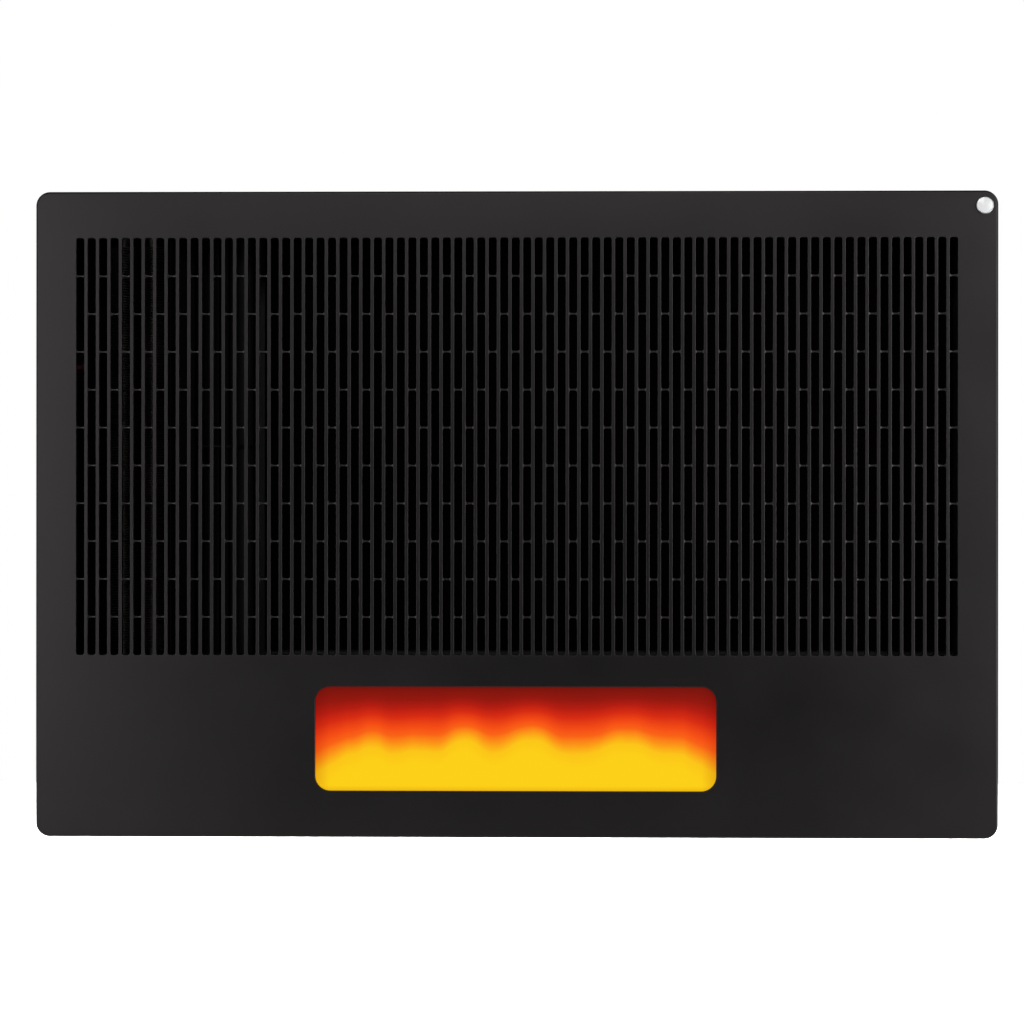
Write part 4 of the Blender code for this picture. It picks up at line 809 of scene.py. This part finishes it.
def make_lining():
    """A quilted matt insulation board behind the grille, which covers the bracket's hooks; its near-black
    colour is painted shade, standing in for the dark inside the casing.
    """
    low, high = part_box("casing_back")
    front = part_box("wall_bracket")[0][1] - 0.0010
    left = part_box("blower_scroll")[1][0] + 0.004
    right = high[0] - LINING_INSET
    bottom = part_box("divider_shelf")[1][2] + 0.0005
    top = high[2] - LINING_INSET
    points = []
    faces = []
    for row in range(LINING_ROWS + 1):
        for column in range(LINING_COLUMNS + 1):
            stitched = column % QUILT_STEP == 0 or row % QUILT_STEP == 0
            points.append((
                left + (right - left) * column / LINING_COLUMNS,
                front + (LINING_STITCH if stitched else 0.0),
                bottom + (top - bottom) * row / LINING_ROWS,
            ))
    for row in range(LINING_ROWS):
        for column in range(LINING_COLUMNS):
            a = row * (LINING_COLUMNS + 1) + column
            faces.append((a, a + 1, a + LINING_COLUMNS + 2, a + LINING_COLUMNS + 1))
    start = len(points)
    for x, z in ((left, bottom), (right, bottom), (right, top), (left, top)):
        points.append((x, front + LINING_STITCH, z))
        points.append((x, low[1] - 0.0003, z))
    for corner in range(4):
        a = start + 2 * corner
        b = start + 2 * ((corner + 1) % 4)
        faces.append((a, a + 1, b + 1, b))
    data = mesh_from(points, faces, "back_lining")
    tidy_normals(data)
    smooth_by_angle(data, 40.0)
    add_object("back_lining", data, "chassis", "lining")


# ---------------------------------------------------------------- screws, marks and small fittings

def screw_mesh(name, radius=0.0038, height=0.0021):
    """A pan-head screw with a cross recess, its head lying on a surface."""
    shape = bmesh.new()
    rings = [(radius * 0.98, 0.0), (radius, 0.0005)]
    for step in range(1, 6):
        angle = math.pi / 2 * step / 5
        level = 0.0005 + (height - 0.0005) * math.sin(angle)
        rings.append((radius * (1 - 0.42 * (1 - math.cos(angle))), level))
    sides = 32
    loops = []
    for ring_radius, level in rings:
        loop = []
        for i in range(sides):
            angle = 2 * math.pi * i / sides
            spot = (ring_radius * math.cos(angle), ring_radius * math.sin(angle), level)
            loop.append(shape.verts.new(spot))
        loops.append(loop)
    for lower, upper in zip(loops, loops[1:]):
        for i in range(sides):
            j = (i + 1) % sides
            shape.faces.new((lower[i], lower[j], upper[j], upper[i]))
    shape.faces.new(loops[-1])
    shape.faces.new(loops[0][::-1])
    data = bpy.data.meshes.new(name)
    shape.to_mesh(data)
    shape.free()
    head = bpy.data.objects.new(name, data)
    cutter_shape = bmesh.new()
    for turn in (0.0, math.pi / 2):
        bmesh.ops.create_cube(
            cutter_shape,
            size=1.0,
            matrix=Matrix.Translation((0, 0, height)) @ Matrix.Rotation(turn, 4, "Z")
            @ Matrix.Diagonal((radius * 1.05, radius * 0.24, height * 1.1, 1.0)),
        )
    cutter_data = bpy.data.meshes.new(name + "_recess")
    cutter_shape.to_mesh(cutter_data)
    cutter_shape.free()
    recess = bpy.data.objects.new(name + "_recess", cutter_data)
    for thing in (head, recess):
        bpy.context.scene.collection.objects.link(thing)
    cut = head.modifiers.new("recess", "BOOLEAN")
    cut.operation = "DIFFERENCE"
    cut.object = recess
    cut.use_self = True
    bpy.context.view_layer.update()
    made = bpy.data.meshes.new_from_object(head.evaluated_get(bpy.context.evaluated_depsgraph_get()))
    bpy.data.objects.remove(head, do_unlink=True)
    bpy.data.objects.remove(recess, do_unlink=True)
    return made


SCREW = {}
SHEET_SCREW_Y = -0.020
BOTTOM_SCREW_Y = -0.098
LEFT_SCREW_HEIGHTS = (-0.245, -0.145, 0.0, 0.145, 0.265)
RIGHT_SCREW_HEIGHTS = (0.0, 0.145, 0.265, -0.145)
BACK_SCREW_HEIGHTS = (-0.18, 0.0, 0.18, 0.275)
BACK_SCREW_SIDE = 0.435
EDGE_SCREW_PLACES = (-0.40, -0.20, 0.0, 0.20, 0.40)


def add_screw(name, spot, outward, turn):
    """A copy of the screw head, its flat underside on the spot and its head facing outward."""
    if "head" not in SCREW:
        SCREW["head"] = screw_mesh("screw_head")
    data = SCREW["head"].copy()
    facing = Vector(outward).to_track_quat("Z", "Y").to_matrix().to_4x4()
    placing = Matrix.Translation(spot) @ facing @ Matrix.Rotation(turn, 4, "Z")
    data.transform(placing)
    smooth_by_angle(data, 35.0)
    add_object(name, data, "chassis", "screw")


def make_screws():
    """Screws through the folded sheets, with heads turned every which way as they were driven."""
    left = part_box("casing_left")[0][0]
    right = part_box("casing_right")[1][0]
    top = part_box("casing_top")[1][2]
    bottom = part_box("casing_bottom")[0][2]
    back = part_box("casing_back")[1][1]
    rows = []
    for z in LEFT_SCREW_HEIGHTS:
        rows.append((f"side_screw_left_{len(rows)}", (left, SHEET_SCREW_Y, z), (-1, 0, 0)))
    for z in RIGHT_SCREW_HEIGHTS:
        rows.append((f"side_screw_right_{len(rows)}", (right, SHEET_SCREW_Y, z), (1, 0, 0)))
    for x in EDGE_SCREW_PLACES:
        rows.append((f"top_screw_{len(rows)}", (x, SHEET_SCREW_Y, top), (0, 0, 1)))
        rows.append((f"bottom_screw_{len(rows)}", (x, BOTTOM_SCREW_Y, bottom), (0, 0, -1)))
    for x in (-BACK_SCREW_SIDE, BACK_SCREW_SIDE):
        for z in BACK_SCREW_HEIGHTS:
            rows.append((f"back_screw_{len(rows)}", (x, back, z), (0, 1, 0)))
    for number, (name, spot, outward) in enumerate(rows):
        add_screw(name, spot, outward, 0.7 * number)


def make_dial_marks():
    """Short raised marks round the knob over the turn it makes, longer at every third."""
    low, high = (Vector(corner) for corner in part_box("thermostat_knob"))
    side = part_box("casing_right")[1][0]
    middle = (low + high) / 2
    radius = (high.y - low.y) / 2
    shape = bmesh.new()
    for index in range(10):
        angle = math.radians(90 + 30 * index)
        long = 0.0042 if index % 3 == 0 else 0.0026
        matrix = (
            Matrix.Translation((side + 0.00008, middle.y, middle.z))
            @ Matrix.Rotation(angle, 4, "X")
            @ Matrix.Translation((0, radius + 0.0022 + long / 2, 0))
            @ Matrix.Diagonal((0.0002, long, 0.0007, 1.0))
        )
        bmesh.ops.create_cube(shape, size=1.0, matrix=matrix)
    data = bpy.data.meshes.new("dial_marks")
    shape.to_mesh(data)
    shape.free()
    add_object("dial_marks", data, "chassis", "mark")


def make_knob():
    """The knob: a skirt with fine flutes, and a waisted grip across it with a pale pointer line."""
    low, high = (Vector(corner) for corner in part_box("thermostat_knob"))
    middle = (low + high) / 2
    radius = (high.y - low.y) / 2
    depth = high.x - low.x
    points = []
    faces = []
    sides = 144
    profile = (
        (0.985, 0.0),
        (1.0, 0.06),
        (1.0, 0.24),
        (0.97, 0.31),
        (0.90, 0.345),
        (0.55, 0.36),
        (0.0, 0.365),
    )
    for share, level in profile:
        for index in range(sides):
            angle = 2 * math.pi * index / sides
            flute = 1.0 - (0.022 * (0.5 + 0.5 * math.cos(angle * 36)) if share > 0.95 else 0.0)
            reach = radius * share * flute
            points.append((
                low.x + depth * level,
                middle.y + reach * math.cos(angle),
                middle.z + reach * math.sin(angle),
            ))
    for level in range(len(profile) - 1):
        for index in range(sides):
            following = (index + 1) % sides
            faces.append((
                level * sides + index,
                level * sides + following,
                (level + 1) * sides + following,
                (level + 1) * sides + index,
            ))
    faces.append(tuple(range(sides - 1, -1, -1)))
    data = mesh_from(points, faces, "knob_skirt")
    tidy_normals(data, 0.000001)
    smooth_by_angle(data, 40.0)
    skirt = add_object("thermostat_knob_skirt", data, "thermostat", "black_plastic")
    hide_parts("thermostat_knob")

    shape = bmesh.new()
    bmesh.ops.create_cube(shape, size=1.0)
    bmesh.ops.subdivide_edges(shape, edges=shape.edges, cuts=9, use_grid_fill=True)
    for vert in shape.verts:
        along = vert.co.z * 2
        out = vert.co.x + 0.5
        waist = 0.0038 + 0.0014 * along * along
        taper = 1.0 - 0.22 * out
        crown = 1.0 - 0.10 * along * along
        vert.co = Vector((
            low.x + depth * (0.30 + 0.70 * out * crown),
            middle.y + vert.co.y * 2 * waist * taper,
            middle.z + along * (radius - 0.0016) * (1.0 - 0.05 * out),
        ))
    bmesh.ops.recalc_face_normals(shape, faces=shape.faces)
    data = bpy.data.meshes.new("knob_grip")
    shape.to_mesh(data)
    shape.free()
    grip = add_object("thermostat_knob_grip", data, "thermostat", "black_plastic")
    edge = grip.modifiers.new("edges", "BEVEL")
    edge.width = 0.0009
    edge.segments = 3
    edge.limit_method = "ANGLE"
    edge.angle_limit = math.radians(40)
    smooth_by_angle(data, 40.0)

    line = bmesh.new()
    matrix = (
        Matrix.Translation((high.x - 0.00115, middle.y, middle.z + radius * 0.60))
        @ Matrix.Diagonal((0.0012, 0.0010, radius * 0.52, 1.0))
    )
    bmesh.ops.create_cube(line, size=1.0, matrix=matrix)
    data = bpy.data.meshes.new("pointer")
    line.to_mesh(data)
    line.free()
    add_object("thermostat_knob_pointer", data, "thermostat", "mark")


# ---------------------------------------------------------------- everything carried over

def finish_nodes():
    """Rounded, finished copies of the frame's sheets and mouldings, and finishes on the nodes that stay."""
    for name in ("casing_left", "casing_right", "casing_top", "casing_bottom", "casing_back"):
        refine(name, "casing", 0.00035)
    for name in ("divider_shelf", "blower_scroll", "blower_tongue", "blower_base_plate", "blower_top_plate"):
        refine(name, "housing", 0.0002)
    refine("wall_bracket", "galvanised", 0.0003)
    for name in ("motor_upper_bracket", "motor_lower_bracket", "flicker_motor"):
        refine(name, "galvanised", 0.0003)
    for name in (
        "control_box", "control_lid", "switch_bank", "thermostat_body", "screen_frame", "thermal_cutout",
    ):
        refine(name, "black_plastic", 0.0004)
    for name in ("rocker_power", "rocker_flame", "rocker_heat"):
        refine(name, "gloss_plastic", 0.0005, segments=3)
    refine("motor_coil", "winding", 0.0012, segments=3)
    refine("transformer", "laminations", 0.0004)
    refine("motor_stator", "laminations", 0.0002)
    refine("control_board", "board", 0.0002)
    refine("reset_button", "red_plastic", 0.0005, segments=3)
    refine("light_box", "white_plastic", 0.0004)
    for corner in ("bottom_left", "bottom_right", "top_left", "top_right"):
        refine(f"spring_clip_{corner}", "spring", 0.0001)
    kept = {
        "flame_screen": "flame",
        "cable_gland": "black_plastic",
        "blower_rotor": "rotor",
        "blower_shaft": "steel_z",
        "motor_rotor": "aluminium",
        "top_bearing": "bronze",
        "heater_bush_left": "ceramic",
        "heater_bush_right": "ceramic",
        "flame_mask": "mirror",
        "lamp_board": "white_plastic",
        "flicker_rotor": "mirror",
        "flicker_bush": "rubber",
        "thermostat_spindle": "steel_x",
        "motor_lead": "cable",
        "lamp_lead": "cable",
        "heater_lead_left": "cable",
        "heater_lead_right": "cable",
        "wall_bumper_left": "rubber",
        "wall_bumper_right": "rubber",
    }
    for corner in ("bottom_left", "bottom_right", "top_left", "top_right"):
        kept[f"panel_stud_{corner}"] = "steel_x"
    for name, look in kept.items():
        data = frame["nodes"][name].data
        data.materials.clear()
        data.materials.append(LOOKS[look])


# ---------------------------------------------------------------- stage

def make_stage():
    """A pale floor below the hung object, a white surround, and soft lamps at the sides and above."""
    corners = ((-4.5, -3.5), (4.5, -3.5), (4.5, 5.5), (-4.5, 5.5))
    floor_data = mesh_from([(x, y, FLOOR_Z) for x, y in corners], [(0, 1, 2, 3)], "floor")
    floor = bpy.data.objects.new("floor", floor_data)
    bpy.context.scene.collection.objects.link(floor)
    material, tree, shader = new_material("pale_floor", (0.92, 0.92, 0.92), 0.9)
    cloud = noise(tree, place(tree), 2.0)
    tone = ramp(tree, cloud, ((0.3, (0.91, 0.91, 0.91)), (0.7, (0.93, 0.93, 0.93))))
    tree.links.new(tone, shader.inputs["Base Color"])
    floor_data.materials.append(material)

    world = bpy.data.worlds.new("surround")
    bpy.context.scene.world = world
    world.use_nodes = True
    tree = world.node_tree
    output = tree.nodes["World Output"]
    seen = tree.nodes["Background"]
    seen.inputs["Color"].default_value = (1.0, 1.0, 1.0, 1.0)
    seen.inputs["Strength"].default_value = 1.0
    lighting = tree.nodes.new("ShaderNodeBackground")
    lighting.inputs["Color"].default_value = (1.0, 1.0, 1.0, 1.0)
    lighting.inputs["Strength"].default_value = 1.0
    direction = node(tree, "ShaderNodeTexCoord")
    split = node(tree, "ShaderNodeSeparateXYZ")
    tree.links.new(direction.outputs["Generated"], split.inputs["Vector"])
    fill = spread(tree, split.outputs["Y"], 0.0, 0.5, 0.0, 0.6)
    tree.links.new(fill, lighting.inputs["Strength"])
    rays = tree.nodes.new("ShaderNodeLightPath")
    mix = tree.nodes.new("ShaderNodeMixShader")
    tree.links.new(rays.outputs["Is Camera Ray"], mix.inputs["Fac"])
    tree.links.new(lighting.outputs["Background"], mix.inputs[1])
    tree.links.new(seen.outputs["Background"], mix.inputs[2])
    tree.links.new(mix.outputs["Shader"], output.inputs["Surface"])

    lamp("lamp_left", (-1.4, -2.2, 0.15), (0.54, 1.6), (0, 0, 0), 12.2)
    lamp("lamp_right", (1.2, -1.2, 0.10), (0.54, 1.4), (0, 0, 0), 11.4)
    lamp("lamp_above", (0.05, -2.2, 1.1), (1.4, 0.5), (0, 0, 0), 9.0)
    lamp("lamp_below", (0.0, -1.6, -0.89), (1.4, 0.5), (0, 0, 0), 0.85)
    lamp("lamp_behind", (0.0, 3.4, 2.4), (7.0, 4.0), (0, 3.4, FLOOR_Z), 420.0, 50.0)


def lamp(name, spot, size, target, power, beam=180.0):
    data = bpy.data.lights.new(name, "AREA")
    data.spread = math.radians(beam)
    data.shape = "RECTANGLE"
    data.size, data.size_y = size
    data.energy = power
    made = bpy.data.objects.new(name, data)
    made.location = spot
    made.rotation_euler = (Vector(target) - Vector(spot)).to_track_quat("-Z", "Y").to_euler()
    bpy.context.scene.collection.objects.link(made)


def make_camera():
    data = bpy.data.cameras.new("camera")
    data.lens = FOCAL_LENGTH
    data.sensor_width = SENSOR
    camera = bpy.data.objects.new("camera", data)
    bpy.context.scene.collection.objects.link(camera)
    distance = VIEW_WIDTH * FOCAL_LENGTH / SENSOR
    target = Vector((VIEW_CENTRE[0], FACE_Y, VIEW_CENTRE[1]))
    away = Vector((math.sin(VIEW_YAW), -math.cos(VIEW_YAW), 0.0)) * distance
    camera.location = target + away
    look = (target - camera.location).to_track_quat("-Z", "Y").to_matrix().to_4x4()
    camera.rotation_euler = (look @ Matrix.Rotation(VIEW_ROLL, 4, "Z")).to_euler()
    bpy.context.scene.camera = camera


make_camera()
make_front_panel()
make_badge()
make_heater()
make_lining()
make_knob()
make_dial_marks()
make_screws()
finish_nodes()
make_stage()
bpy.context.scene.view_settings.view_transform = "Standard"
